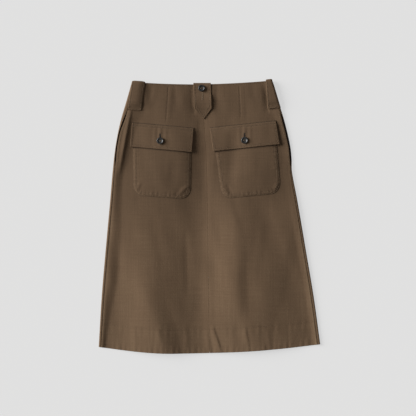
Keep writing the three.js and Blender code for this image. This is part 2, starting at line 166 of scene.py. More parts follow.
# %% The long folds
LYING = 3.0  # height of the back's outer face where it lies on the front
CLOTH = 1.2  # one layer of twill, with the softness of its surface
FOLDS = [
    {   # left fold, from the pocket's side to the hem
        "crest": [
            (-357, -121), (-309, -131), (-244, -144), (-190, -154), (-61, -168), (60, -182),
            (344, -165),
        ],
        "height": [
            (-357, 9), (-309, 10.5), (-217, 12), (-113, 9.5), (0, 6.5), (120, 4.5), (344, 2),
        ],
        "left": [(-357, 145), (-309, 125), (-217, 99), (-113, 85), (0, 105), (344, 110)],
        "right": [(-357, 135), (-217, 125), (-113, 130), (0, 148), (344, 120)],
    },
    {   # the sharper crest it has lower down
        "crest": [(-357, -121), (-309, -132), (-244, -145), (-190, -153), (-100, -160)],
        "height": [(-357, 6), (-309, 5.5), (-217, 2.6), (-100, 0)],
        "left": [(-357, 110), (-309, 95), (-217, 50), (-100, 42)],
        "right": [(-357, 62), (-309, 58), (-217, 42), (-100, 38)],
    },
    {   # middle fold, right of the centre seam
        "crest": [(-357, 100), (-309, 95), (-269, 86), (-217, 79), (-113, 76), (0, 66), (60, 62)],
        "height": [
            (-357, 8), (-309, 9), (-265, 11), (-165, 12), (-61, 10.5), (0, 8), (90, 3), (130, 0),
        ],
        "left": [(-357, 150), (-309, 142), (-217, 110), (-61, 100), (0, 78), (60, 66)],
        "right": [(-357, 185), (-217, 175), (-113, 130), (0, 95)],
    },
    {   # and its sharper crest
        "crest": [(-300, 80), (-217, 68), (-113, 66), (-30, 56)],
        "height": [(-310, 0), (-217, 2.6), (-113, 2.8), (-30, 1.2), (20, 0)],
        "left": [(-300, 60), (-30, 56)],
        "right": [(-300, 34), (-30, 36)],
    },
    {   # broad swell of the right half
        "crest": [(-357, 150), (0, 150), (108, 132), (344, 112)],
        "height": [
            (-357, 3), (-217, 3), (-113, 4.5), (0, 5.5), (108, 5.2), (173, 4.4), (240, 3.6),
            (344, 2),
        ],
        "left": [(-357, 150), (0, 140), (108, 120), (344, 115)],
        "right": [(-357, 150), (0, 135), (344, 130)],
    },
    {   # slanting fold of the right half
        "crest": [(-309, 110), (-192, 149), (-88, 186), (20, 205)],
        "height": [(-357, 0.8), (-200, 1.4), (-36, 1.4), (70, 0)],
        "left": [(-357, 50), (70, 50)],
        "right": [(-357, 55), (70, 55)],
    },
    {   # swell under the left pocket
        "crest": [(0, -95), (108, -92), (173, -84), (240, -88), (344, -100)],
        "height": [(-60, 0), (0, 2.5), (43, 4.5), (108, 6.8), (173, 7), (238, 4.5), (344, 2.5)],
        "left": [(0, 115), (344, 115)],
        "right": [(0, 74), (108, 78), (173, 72), (240, 74), (344, 75)],
    },
    {   # swell under the right pocket
        "crest": [(68, 98), (108, 102), (173, 110), (344, 108)],
        "height": [(30, 0), (108, 3.5), (173, 2.8), (240, 1.5), (344, 1)],
        "left": [(68, 52), (173, 56), (344, 70)],
        "right": [(68, 115), (344, 100)],
    },
    {   # ridge between that pocket and the centre seam
        "crest": [(-30, 20), (68, 15), (146, 14), (276, 26), (344, 34)],
        "height": [(-40, 0), (40, 2.6), (173, 3.2), (240, 2.5), (344, 2.5)],
        "left": [(-40, 34), (146, 30), (344, 50)],
        "right": [(-40, 60), (146, 52), (344, 90)],
    },
]
# Each side edge stays puffed up in a roll: its height, how far in it stays at that height, and
# how far in it has come down to the valley beside it.
LEFT_ROLL = [(-357, 3.2), (0, 3.4), (150, 5), (260, 5), (344, 4)]
RIGHT_ROLL = [(-357, 2.2), (0, 1.5), (150, 1.3), (344, 2.6)]
LEFT_FLAT = [
    (-357, 7.5), (-230, 8.5), (-165, 14), (-61, 14), (20, 9), (107, 7.5), (344, 7.5),
]
ROLL_FLAT = 7.5  # the right roll's, all the way up
LEFT_VALLEY = [
    (-357, 19), (-309, 22), (-244, 30), (-192, 38), (-120, 41), (-50, 39), (40, 33), (107, 31),
    (150, 40), (203, 46), (270, 56), (344, 62),
]
RIGHT_VALLEY = [(-357, 20), (-100, 24), (107, 26), (300, 28), (344, 30)]
HIGHEST_AT = (74.0, -149.0)


def fold_height(fold, x, y):
    """One fold's own height: a smooth bell between the ends of its two flanks."""
    off = x - through(fold["crest"], y)
    reach = np.where(off < 0, through(fold["left"], y), through(fold["right"], y))
    t = off / reach
    bell = np.where(np.abs(t) < 1, (1 - t * t) ** 2, 0)
    return through(fold["height"], y) * bell


def smooth_height(x, y):
    """The back's outer face without its creases, which is the CAD panels' own height."""
    down = np.clip(down_at(x, y), 0, 1)
    from_left, from_right = x - left_edge(down), right_edge(down) - x
    left_step = ease(through(LEFT_FLAT, y), through(LEFT_VALLEY, y), from_left)
    left = through(LEFT_ROLL, y) * (1 - left_step)
    right = through(RIGHT_ROLL, y) * (1 - ease(ROLL_FLAT, through(RIGHT_VALLEY, y), from_right))
    return LYING + left + right + sum(fold_height(fold, x, y) for fold in FOLDS)


print("highest fold:", round(float(smooth_height(*HIGHEST_AT)), 1), "mm")

# %% [markdown]
# ## The creases
#
# The long folds alone look like poured plastic. Real twill also keeps short soft creases where
# it was handled, and fine ripples along every row of stitches, which is a little shorter than
# the cloth it holds. Each crease here is a soft ridge or trough along a line, fading out at
# both ends.

# %% Creases and ripples
CREASES = [
    # start, end, widths of the two flanks (left and right where the line runs down), height:
    # a trough is below 0
    ((8, -284), (31, -357), (11, 3), 2.2),  # sharp one up from the hem, right of the middle
    ((92, -286), (101, -340), (9, 3.5), 1.3),
    ((-136, -290), (-124, -330), (7, 5), 0.5),
    ((-55, -296), (-62, -357), (6, 6), 0.5),
    ((-6, -292), (-2, -357), (7, 6), 0.8),
    ((150, -290), (158, -345), (8, 6), 0.6),
    ((-196, -288), (-190, -346), (8, 6), 0.4),
    ((-62, -30), (-56, -215), (9, 9), -1.0),  # beside the left fold
    ((-150, 20), (-118, -150), (14, 12), -0.5),
    ((50, 44), (84, -60), (14, 9), 0.6),
    ((-8, 60), (22, -120), (12, 10), 0.5),
    ((126, 20), (96, -190), (16, 12), -0.5),
    ((210, -20), (176, -250), (14, 14), 0.5),
    ((-215, -40), (-226, -240), (10, 12), 0.4),
    ((-42, 352), (-38, 262), (9, 3), -2.0),  # the cloth gives way beside the tab
    ((-74, 348), (-58, 246), (9, 12), 0.7),
    ((146, 358), (153, 266), (10, 3), -2.9),  # and beside the right loop
    ((-202, 286), (-235, 108), (8, 3.6), 3.4),  # from the left loop down past the flap
    ((-172, 352), (-164, 276), (12, 10), 2.6),  # the cloth rises beside the left loop
    ((7, 352), (9, 260), (7, 9), 2.0),  # and beside the tab
    ((-140, 350), (-147, 292), (6, 7), 0.4),
    ((-92, 350), (-86, 282), (7, 6), -0.5),
    ((22, 352), (14, 268), (8, 7), -0.6),
    ((108, 352), (116, 300), (8, 8), -0.5),
    ((30, 330), (52, 262), (12, 12), 0.5),
    ((118, 330), (128, 268), (9, 12), -0.3),
    ((-150, 322), (-160, 262), (10, 9), 0.5),
    ((-70, 322), (-78, 256), (9, 9), 0.5),
    ((-20, 262), (-33, 150), (9, 12), -0.9),  # the deep valley between the pockets
]
# painted light and shade by height: the cloth is drawn darker round the pockets and towards the
# waist, and paler towards the hem, in place of the light's falloff
PAINTED_FALLOFF = [
    (-357, 0.08), (-100, 0), (0, -0.08), (60, -0.19), (150, -0.2), (250, -0.15), (344, -0.14),
]
HEM_DEPTH = 62  # the hem is turned up this far and stitched
SWELL_HEIGHT = 0.15
SWELLS = [(190, 300, 0.4), (83, 210, 1.9), (137, 120, 4.1), (61, 151, 2.7)]  # across, down, turn
DEEPEST_TROUGH = 0.25  # no crease goes further than this below where the back lies
DARTS = {  # from the waist to the top of the flap under it
    "left": ((-107, 338), (-113, 240)),
    "right": ((77, 339), (82, 250)),
}


def along_line(x, y, start, end):
    """How far along a line a point is, from 0 to 1, and how far beside it, in mm.

    Beside it is above 0 on the left of someone who walks from start to end, which is the right
    of a line drawn down the skirt.
    """
    start, end = np.array(start, float), np.array(end, float)
    length = np.hypot(*(end - start))
    ux, uy = (end - start) / length
    along = ((x - start[0]) * ux + (y - start[1]) * uy) / length
    aside = (x - start[0]) * -uy + (y - start[1]) * ux
    return along, aside


def crease(x, y, start, end, widths, height):
    """One crease's own height, fading out at both its ends."""
    along, aside = along_line(x, y, start, end)
    width = np.where(aside < 0, widths[0], widths[1])
    inside = (along > 0) & (along < 1)
    fade = np.where(inside, np.sin(np.pi * np.clip(along, 0, 1)) ** 0.8, 0)
    return height * hump(aside, width) * fade


def painted_falloff(y):
    """Painted light and shade by height on the skirt: how much paler than its middle tone the
    cloth is drawn, in place of the light's falloff.
    """
    return through(PAINTED_FALLOFF, y)


def ripple(place, pitch, seed):
    """Uneven waves along a seam, between -1 and 1, from a few sines that don't repeat."""
    rng = np.random.default_rng(seed)
    phases = rng.uniform(0, 2 * np.pi, 4)
    tones = (1.0, 0.71, 1.43, 0.37)
    weights = (0.5, 0.3, 0.2, 0.3)
    turns = 2 * np.pi * place / pitch
    return sum(w * np.sin(turns * f + p) for w, f, p in zip(weights, tones, phases))


def hem_ripples(x, y):
    """Ripples at the hem's edge, along its stitches, and broader ones between the two."""
    above = y - hem_y(x)
    at_edge = 0.45 * ripple(x, 14, 3) * hump(above, 16)
    at_stitch = 0.24 * ripple(x, 17, 5) * hump(above - HEM_DEPTH + 8, 15)
    turn_up = ease(0, 20, above) * (1 - ease(HEM_DEPTH - 10, HEM_DEPTH + 25, above))
    return at_edge + at_stitch + 0.16 * ripple(x, 31, 8) * turn_up


def seam_relief(x, y):
    """The centre seam's pressed allowances, the darts and the hem's stitched line."""
    seam = np.abs(x - centre_x(y))
    relief = 0.14 * (1 - ease(9, 14, seam))
    for start, end in DARTS.values():
        along, aside = along_line(x, y, start, end)
        fade = ease(-0.02, 0.05, along) * (1 - ease(0.8, 1.02, along))
        relief = relief + fade * (-0.5 * hump(aside, 1.3))
        relief = relief + fade * 0.3 * ease(0.5, 2, aside) * (1 - ease(9, 15, aside))
    above = y - hem_y(x)
    return relief - 0.18 * hump(above - HEM_DEPTH, 2.2)


def soft_swell(x, y):
    """Shallow unevenness of cloth that was smoothed by hand."""
    return sum(
        SWELL_HEIGHT * np.sin(2 * np.pi * (x / across + y / down) + turn)
        for across, down, turn in SWELLS
    )


def lay_height(x, y):
    """Outer face of the back as it lies, creases included."""
    down = np.clip(down_at(x, y), 0, 1)
    inside = np.minimum(x - left_edge(down), right_edge(down) - x)
    creased = sum(crease(x, y, *c) for c in CREASES) + hem_ripples(x, y) + soft_swell(x, y)
    kept = ease(4, 22, inside)
    height = smooth_height(x, y) + creased * kept + seam_relief(x, y) * ease(0, 8, inside)
    return np.maximum(height, LYING - DEEPEST_TROUGH)


print("creases:", len(CREASES), "and ripples along the hem's", HEM_DEPTH, "mm turn-up")

# %% [markdown]
# ## From rows of points to cloth
#
# One helper makes every shell: it takes the outer face as rows of points, puts the inner face
# one thickness behind it, and closes the edges. It also keeps two things for the materials: a
# map of the cloth's own grain in metres, so that the weave runs with each piece, and a tone of
# painted shade and light: darker in seams and stitch furrows, paler along some edges, and graded
# by height in place of the light's falloff.

# %% The shell maker
def colour(hex_value):
    """An sRGB hex colour as linear RGBA."""
    parts = [int(hex_value[i : i + 2], 16) / 255 for i in (1, 3, 5)]
    linear = [c / 12.92 if c <= 0.04045 else ((c + 0.055) / 1.055) ** 2.4 for c in parts]
    return (*linear, 1.0)


def row_normals(rows):
    """Unit normals of a grid of points, along (across a row) x (on to the next row)."""
    across = np.gradient(rows, axis=1)
    on = np.gradient(rows, axis=0)
    normal = np.cross(across, on)
    return normal / np.maximum(np.linalg.norm(normal, axis=2, keepdims=True), 1e-9)


def keep_piece(obj, slot, *nodes):
    """Every piece rides on the skirt's one body and hides the frame's parts that it stands for;
    its slot is not used.
    """
    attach(obj, BODY)
    if nodes:
        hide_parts(*nodes)


def mesh_piece(name, points, faces, material, grain=None, tone=None):
    """A smooth mesh object from points in mm."""
    mesh = bpy.data.meshes.new(name)
    mesh.from_pydata((np.asarray(points) * MM).tolist(), [], faces)
    mesh.polygons.foreach_set("use_smooth", np.ones(len(mesh.polygons), dtype=bool))
    if grain is not None:
        loops = np.empty(len(mesh.loops), dtype=np.int32)
        mesh.loops.foreach_get("vertex_index", loops)
        uv = mesh.uv_layers.new(name="grain")
        uv.data.foreach_set("uv", (np.asarray(grain)[loops] * MM).astype(np.float32).ravel())
    if tone is not None:
        layer = mesh.attributes.new("tone", "FLOAT", "POINT")
        layer.data.foreach_set("value", np.asarray(tone, dtype=np.float32).ravel())
    mesh.materials.append(material)
    mesh.update()
    obj = bpy.data.objects.new(name, mesh)
    bpy.context.collection.objects.link(obj)
    return obj


def cloth(name, rows, thickness, material, grain, tone, upright=True):
    """A closed shell. An upright one is thickened straight down, so its edges meet squarely."""
    rows = np.asarray(rows, dtype=float)
    normal = row_normals(rows)
    thick = np.broadcast_to(np.asarray(thickness, dtype=float), rows.shape[:2])[..., None]
    if upright:
        under = rows - thick / np.maximum(normal[..., 2:3], 0.5) * np.array([0, 0, 1.0])
    else:
        under = rows - thick * normal
    count_on, count_across = rows.shape[:2]
    index = np.arange(count_on * count_across).reshape(count_on, count_across)
    count = index.size
    a, b = index[:-1, :-1], index[:-1, 1:]
    c, d = index[1:, 1:], index[1:, :-1]
    quads = [np.stack([a, b, c, d], -1).reshape(-1, 4)]
    quads.append(np.stack([b, a, d, c], -1).reshape(-1, 4) + count)

    def rim(line, flip):
        p, q = line[:-1], line[1:]
        band = [q, p, p + count, q + count] if flip else [p, q, q + count, p + count]
        quads.append(np.stack(band, -1).reshape(-1, 4))

    rim(index[0], True)
    rim(index[-1], False)
    rim(index[:, 0], False)
    rim(index[:, -1], True)
    points = np.concatenate([rows.reshape(-1, 3), under.reshape(-1, 3)])
    both = [np.concatenate([part.reshape(count, -1)] * 2) for part in (grain, tone)]
    return mesh_piece(name, points, np.concatenate(quads).tolist(), material, *both)


def spaced(length, step, edges):
    """Places from 0 to length: the given ones near each end, and step apart between them."""
    *close, last = edges
    count = max(2, round((length - 2 * last) / step))
    inner = np.linspace(last, length - last, count)
    return np.concatenate([[0], close, inner, length - np.array(close)[::-1], [length]])


def run_along(line):
    """The length of a line of points up to each of its points."""
    steps = np.linalg.norm(np.diff(line, axis=0), axis=1)
    return np.concatenate([[0], np.cumsum(steps)])


def rounded(depth, radius):
    """How far a rounded edge has dropped below the face at a depth inside it, in mm."""
    t = np.clip(1 - depth / radius, 0, 1)
    return radius * (1 - np.sqrt(1 - t * t))


print("grey card #808080 in linear light:", round(colour("#808080")[0], 3))

# %% [markdown]
# ## Materials
#
# The shell is a matte cotton twill, yarn-dyed brown: almost no gloss, a slight bloom of fibre
# ends seen at a slant, and uneven yarn that shows as faint streaks along the warp. The pocket
# facings are a thin dark plain weave, drawn near black as painted shade for the deep pocket
# mouths. The buttons are polished dark horn, and the thread is a spun polyester of the cloth's
# own colour, drawn deeper in the grooves of its twist as painted shade. One helper adds a node
# with its settings and links.

# %% Cloth, thread and horn
def add_node(tree, kind, inputs=None, **settings):
    """A node with its settings, and its inputs filled with values or other nodes' outputs."""
    made = tree.nodes.new(kind)
    for key, value in settings.items():
        setattr(made, key, value)
    for socket, value in (inputs or {}).items():
        if isinstance(value, bpy.types.NodeSocket):
            tree.links.new(value, made.inputs[socket])
        else:
            made.inputs[socket].default_value = value
    return made


def new_material(name):
    """A new material with its node tree and its shader."""
    material = bpy.data.materials.new(name)
    material.use_nodes = True
    tree = material.node_tree
    return material, tree, tree.nodes["Principled BSDF"]


def grain_noise(tree, grain_mm, across_mm, along_mm, detail=2.0, turn=0.0):
    """Noise stretched along the grain: blobs about so many mm across and along."""
    scaled = add_node(
        tree, "ShaderNodeMapping",
        {"Vector": grain_mm, "Rotation": (0, 0, turn), "Scale": (1 / across_mm, 1 / along_mm, 1)},
    )
    noise = add_node(
        tree, "ShaderNodeTexNoise",
        {"Vector": scaled.outputs["Vector"], "Scale": 1.0, "Detail": detail, "Roughness": 0.55},
        noise_dimensions="2D",
    )
    return noise.outputs["Fac"]


def weighted_sum(tree, parts):
    """Adds (output, weight) pairs, each taken from its middle value of one half."""
    total = 0.0
    for output, weight in parts:
        centred = add_node(tree, "ShaderNodeMath", {0: output, 1: 0.5}, operation="SUBTRACT")
        total = add_node(
            tree, "ShaderNodeMath", {0: centred.outputs[0], 1: weight, 2: total},
            operation="MULTIPLY_ADD",
        ).outputs[0]
    return total


def woven(name, deep, middle, pale, sheen):
    """A woven cloth, from three hex colours and how much fibre bloom it has."""
    material, tree, shader = new_material(name)
    uv = add_node(tree, "ShaderNodeUVMap", uv_map="grain")
    grain = add_node(
        tree, "ShaderNodeVectorMath", {0: uv.outputs["UV"], 1: (1000, 1000, 1000)},
        operation="MULTIPLY",
    ).outputs["Vector"]
    # The real ribs are 0.6 mm apart, too fine to show, so they are drawn four times as coarse.
    rib = grain_noise(tree, grain, 1.3, 4.6, 1.0, math.radians(27))
    streak = grain_noise(tree, grain, 2.8, 95, 2.0)
    pick = grain_noise(tree, grain, 70, 3.0, 2.0)
    cloud = grain_noise(tree, grain, 60, 110, 3.0)
    shade = weighted_sum(tree, [(rib, 0.34), (streak, 0.3), (pick, 0.24), (cloud, 0.3)])
    # the tone attribute is painted shade and light, set on each piece
    tone = add_node(tree, "ShaderNodeAttribute", attribute_name="tone").outputs["Fac"]
    level = add_node(tree, "ShaderNodeMath", {0: shade, 1: tone}, operation="ADD").outputs[0]
    place = add_node(
        tree, "ShaderNodeMath", {0: level, 1: 0.5, 2: 0.5},
        operation="MULTIPLY_ADD", use_clamp=True,
    ).outputs[0]
    ramp = add_node(tree, "ShaderNodeValToRGB", {"Fac": place})
    ramp.color_ramp.elements[0].color = colour(deep)
    ramp.color_ramp.elements[1].color = colour(pale)
    ramp.color_ramp.elements.new(0.5).color = colour(middle)
    relief = weighted_sum(tree, [(rib, 1.0), (streak, 0.5), (pick, 0.4)])
    bump = add_node(
        tree, "ShaderNodeBump", {"Strength": 0.42, "Distance": 0.0005, "Height": relief}
    )
    tree.links.new(ramp.outputs["Color"], shader.inputs["Base Color"])
    tree.links.new(bump.outputs["Normal"], shader.inputs["Normal"])
    shader.inputs["Roughness"].default_value = 0.92
    shader.inputs["IOR"].default_value = 1.45
    shader.inputs["Specular IOR Level"].default_value = 0.22
    shader.inputs["Sheen Weight"].default_value = sheen
    shader.inputs["Sheen Roughness"].default_value = 0.5
    shader.inputs["Sheen Tint"].default_value = colour("#c9b79c")
    return material


TWILL = woven("brown_cotton_twill", "#34281d", "#5e4b39", "#7f6b54", sheen=0.12)
# a real pocket bag, drawn near black as painted shade for the deep side pocket mouths
SHADED_POCKETING = woven("pocketing_drawn_as_painted_shade", "#0d0908", "#1a1310", "#2c221c", sheen=0.0)


def spun_thread(name, deep, pale):
    """Thread: two close hex colours for the twist of its plies, which is its relief too, so the
    deeper colour in the grooves between the plies is painted shade.
    """
    material, tree, shader = new_material(name)
    where = add_node(tree, "ShaderNodeTexCoord").outputs["Object"]
    plies = add_node(
        tree, "ShaderNodeTexWave",
        {"Vector": where, "Scale": 900.0, "Distortion": 1.5, "Detail": 1.0},
        bands_direction="DIAGONAL",
    )
    bump = add_node(
        tree, "ShaderNodeBump",
        {"Strength": 0.4, "Distance": 0.0001, "Height": plies.outputs["Fac"]},
    )
    tint = add_node(
        tree, "ShaderNodeMix",
        {"Factor": plies.outputs["Fac"], "A": colour(deep), "B": colour(pale)},
        data_type="RGBA",
    )
    tree.links.new(tint.outputs["Result"], shader.inputs["Base Color"])
    tree.links.new(bump.outputs["Normal"], shader.inputs["Normal"])
    shader.inputs["Roughness"].default_value = 0.7
    shader.inputs["IOR"].default_value = 1.5
    return material


THREAD = spun_thread("brown_spun_polyester_thread", "#6a5642", "#7d6a52")
DARK_THREAD = spun_thread("dark_buttonhole_thread", "#1d1611", "#30251c")


def polished_horn(name):
    """Horn is dark and layered, and polishing leaves a clear, wet-looking highlight."""
    material, tree, shader = new_material(name)
    where = add_node(tree, "ShaderNodeTexCoord").outputs["Object"]
    stretched = add_node(tree, "ShaderNodeMapping", {"Vector": where, "Scale": (160, 420, 300)})
    layers = add_node(
        tree, "ShaderNodeTexNoise",
        {"Vector": stretched.outputs["Vector"], "Scale": 1.0, "Detail": 4.0, "Distortion": 1.2},
    )
    ramp = add_node(tree, "ShaderNodeValToRGB", {"Fac": layers.outputs["Fac"]})
    ramp.color_ramp.elements[0].position = 0.38
    ramp.color_ramp.elements[0].color = colour("#0f0f0f")
    ramp.color_ramp.elements[1].position = 0.72
    ramp.color_ramp.elements[1].color = colour("#2c2b2a")
    rough = add_node(
        tree, "ShaderNodeMapRange", {"Value": layers.outputs["Fac"], "To Min": 0.3, "To Max": 0.46}
    )
    tree.links.new(ramp.outputs["Color"], shader.inputs["Base Color"])
    tree.links.new(rough.outputs["Result"], shader.inputs["Roughness"])
    shader.inputs["IOR"].default_value = 1.54
    return material


HORN = polished_horn("polished_dark_horn")
print("materials:", [m.name for m in bpy.data.materials])

# %% [markdown]
# ## The two back panels
#
# The back is cut in two halves, joined down the middle. Each half is one sheet whose rows run
# from the middle seam out to the side. Its cut edges are turned in at the seams, so they are
# drawn rounded over, and the thin furrow between two rounded edges is what reads as a seam.

# %% Side seams, shared by the back and the front
SEAM_GAP = 0.3
SIDE_SEAM_GAP = 0.6
LEAST_WRAP = 0.4  # the front's wrap always ends at least this far inside the edge
MOUTH_TOP = 271  # the side pocket mouths run between these heights
MOUTH_BOTTOM = 128
MOUTH_DOWN = 0.2  # how far down the edge they are, from the waist (0) to the hem (1)
LEFT_INSET = [  # how far inside the edge the seam is, by height on the skirt
    (-357, 6), (0, 6), (130, 4.6), (185, 3.2), (222, 4.3), (237, 6.4), (256, 9), (271, 10),
    (350, 10),
]
RIGHT_INSET = [(-357, 7), (60, 5), (130, 3.1), (180, 3.0), (271, 4.0), (350, 6)]
SIDES = {
    "left": {"sign": -1, "edge": left_edge, "inset": LEFT_INSET, "gape": 1.5, "lip": 0},
    "right": {"sign": 1, "edge": right_edge, "inset": RIGHT_INSET, "gape": 1.7, "lip": 1},
}


def mouth_share(y):
    """0 outside a side pocket's mouth and 1 along its middle."""
    t = np.clip((y - MOUTH_BOTTOM) / (MOUTH_TOP - MOUTH_BOTTOM), 0, 1)
    return np.clip(2.6 * np.sin(np.pi * t), 0, 1)


def side_seam(side, down):
    """How far inside the edge the back starts and the front's wrap ends, and how open it is."""
    y = row_y(side["edge"](down), down)
    inset = through(side["inset"], y)
    openness = mouth_share(y)
    gape = side["gape"] * openness
    near = inset + gape + SIDE_SEAM_GAP / 2
    far = np.maximum(LEAST_WRAP, inset - gape - SIDE_SEAM_GAP / 2)
    return near, far, openness


# %% Back panels
STEP = 2.7  # mm between points of the fine cloth
WAIST_ROW = 3.0  # the stitches along the waist are this far below its edge
FLAT_HEIGHT = 700  # from the waist to the hem as it lies
SEAM_ABOUT = -10.0  # the centre seam is never far from this x
EDGE_STEPS = (0.4, 0.9, 1.6, 2.6, 4.0)


def side_depths(across, width, side):
    """Depths from the outer and from the middle edge of a half, from the place across it."""
    return (across, width - across) if side["sign"] < 0 else (width - across, across)


def back_panel(name, side, node):
    """One half of the back, its rows running up from the hem."""
    places = spaced(FLAT_HEIGHT, STEP, EDGE_STEPS) / FLAT_HEIGHT
    down = (1 - places)[:, None]
    near = side_seam(side, down)[0]
    outside = side["edge"](down) - side["sign"] * near
    middle = centre_x(row_y(np.array(SEAM_ABOUT), down)) + side["sign"] * SEAM_GAP / 2
    low, high = (outside, middle) if side["sign"] < 0 else (middle, outside)
    widest = float(np.max(high - low))
    *close, last = EDGE_STEPS
    inner = np.linspace(0, 1, round(widest / STEP))[None, :]
    body = last + inner * (high - low - 2 * last)
    ends = np.broadcast_to([0, *close], (len(down), len(EDGE_STEPS)))
    across = np.concatenate([ends, body, (high - low) - ends[:, ::-1]], axis=1)
    x = low + across
    y = row_y(x, down)
    at_side, at_middle = side_depths(across, high - low, side)
    at_waist, at_hem = waist_y(x) - y, y - hem_y(x)
    z = lay_height(x, y)
    for depth, radius in ((at_side, 0.9), (at_middle, 0.12), (at_waist, 0.7), (at_hem, 0.7)):
        z = z - rounded(depth, radius)
    # painted light along the centre seam's edge, which offsets the shade of the seam's furrow, and
    # painted shade in the side seam
    tone = 0.1 * hump(at_middle, 1.2) - 0.3 * hump(at_side, 0.9)
    tone = tone + 0.3 * hump(at_side - 3, 2.4)  # painted highlight: the rolled side edges are drawn paler, where the light catches them
    # paler along the hem's edge, and painted shade along the hem's stitched line
    tone = tone + 0.16 * hump(at_hem, 1.6) - 0.08 * hump(at_hem - HEM_DEPTH, 1.8)
    tone = tone + painted_falloff(y)
    # painted shade along the waist's row of stitches
    tone = tone - 0.14 * hump(at_waist - WAIST_ROW, 1.5)
    # painted shade along the fold of each dart
    for start, end in DARTS.values():
        along, aside = along_line(x, y, start, end)
        fade = ease(-0.05, 0.05, along) * (1 - ease(0.75, 1.0, along))
        tone = tone - 0.28 * fade * hump(aside, 1.5)
    rows = np.stack([x, y, z], axis=-1)
    obj = cloth(name, rows, CLOTH, TWILL, np.stack([x, y], -1), tone)
    keep_piece(obj, "twill", node)
    print(name, "is", round(widest), "mm wide at the hem, with", len(obj.data.vertices), "points")
    return obj


BACKS = {
    key: back_panel("back_" + key, side, "back_" + key + "_panel") for key, side in SIDES.items()
}

# %% [markdown]
# ## The front
#
# The front is cut in one piece and is wider than the back, so it wraps round both sides and
# meets the back on the upper side. The wrap is half a circle, as a fold of thick cloth is when
# nothing has pressed it. It lies on the surface, so its outer face is the flat underside.

# %% Front panel
FRONT_WAIST_DROP = 3  # the front's waist lies this much lower than the back's
WRAP_STEPS = 16
FLAT_STEPS = 50
HIDDEN_CREASES = [  # troughs in the hidden side, no deeper than the cloth is soft
    ((-120, -340), (-96, -40), (16, 16), 0.25),
    ((90, -345), (70, -90), (18, 18), 0.25),
    ((-40, 300), (-60, 120), (14, 14), 0.22),
    ((60, 310), (90, 150), (14, 14), 0.22),
]


def wrap_profile(side, down):
    """The wrap's outer face as distance inside the edge and height, round to the underside."""
    near, far, openness = side_seam(side, down)
    x = side["edge"](down) - side["sign"] * near
    radius = smooth_height(x, row_y(x, down)) / 2
    lowered = side["lip"] * openness
    short = np.arcsin(np.clip((radius - far) / radius, 0, 1))
    turn = mix(np.pi - short, 0.46 * np.pi, lowered)
    straight = np.maximum(0, far - radius) * (1 - lowered)
    length = radius * turn + straight
    s = (1 - np.linspace(0, 1, WRAP_STEPS + 1))[None, :] * length
    angle = np.minimum(s / radius, turn)
    inside = radius - radius * np.sin(angle) + np.maximum(0, s - radius * turn)
    return inside, radius - radius * np.cos(angle)


def front_panel():
    """The front: its left wrap, its flat middle and its right wrap, row by row."""
    places = spaced(FLAT_HEIGHT, STEP, EDGE_STEPS) / FLAT_HEIGHT
    down = places[:, None]
    sides = {}
    for key, side in SIDES.items():
        inside, z = wrap_profile(side, down)
        sides[key] = (side["edge"](down) - side["sign"] * inside, z)
    left_x, left_z = sides["left"]
    right_x, right_z = (values[:, ::-1] for values in sides["right"])
    share = np.linspace(0, 1, FLAT_STEPS)[None, 1:-1]
    flat_x = mix(left_x[:, -1:], right_x[:, :1], share)
    flat_y = row_y(flat_x, down)
    flat_z = sum(crease(flat_x, flat_y, *c) for c in HIDDEN_CREASES)
    x = np.concatenate([left_x, flat_x, right_x], axis=1)
    z = np.concatenate([left_z, flat_z, right_z], axis=1)
    inside = np.minimum(x - left_edge(down), right_edge(down) - x)
    y = row_y(x, down) - FRONT_WAIST_DROP * (1 - 2 * down) * ease(6, 60, inside)
    rows = np.stack([x, y, z], axis=-1)
    steps = np.hypot(np.diff(x, axis=1), np.diff(z, axis=1))
    run = np.concatenate([np.zeros((len(rows), 1)), np.cumsum(steps, axis=1)], axis=1)
    run = run - run[:, -1:] / 2
    count = np.arange(x.shape[1])
    at_end = np.minimum(count, count[::-1])[None, :]
    # painted shade at the wrap's end, in the side seam, and painted light on the wrap where it
    # rises
    tone = -0.3 * hump(at_end, 0.8) + 0.1 * ease(0.0, 0.5, z / 6) * (z < 6)
    tone = np.broadcast_to(tone, x.shape)
    obj = cloth("front", rows, CLOTH, TWILL, np.stack([run, y], -1), tone, upright=False)
    keep_piece(obj, "twill", "front_panel")


front_panel()

# %% [markdown]
# ## The side pockets
#
# A slanted opening is left in each side seam. What is seen in it is a strip of the pocket
# bag, lower than both lips, so it is built as that strip and nothing more. The bag is a dark
# cloth, drawn near black as painted shade for the deep mouth.

# %% Side pocket facings
FACING_THICK = 0.8
FACING_ENDS = 17  # it is this much shorter than the mouth at each end
FACING_TUCK = 15  # and starts this far inside the edge, under the back
FACING_ROWS, FACING_POINTS = 50, 13
UNDER_BACK = CLOTH + 0.9
FACING_PATHS = {  # where it shows: distance inside the edge, and height from the lip's
    "left": lambda lip: [(4.6, lip - 3.2), (2.9, lip - 4.6)],
    "right": lambda lip: [(4.0, lip - 1.8), (1.1, lip - 1.7)],
}


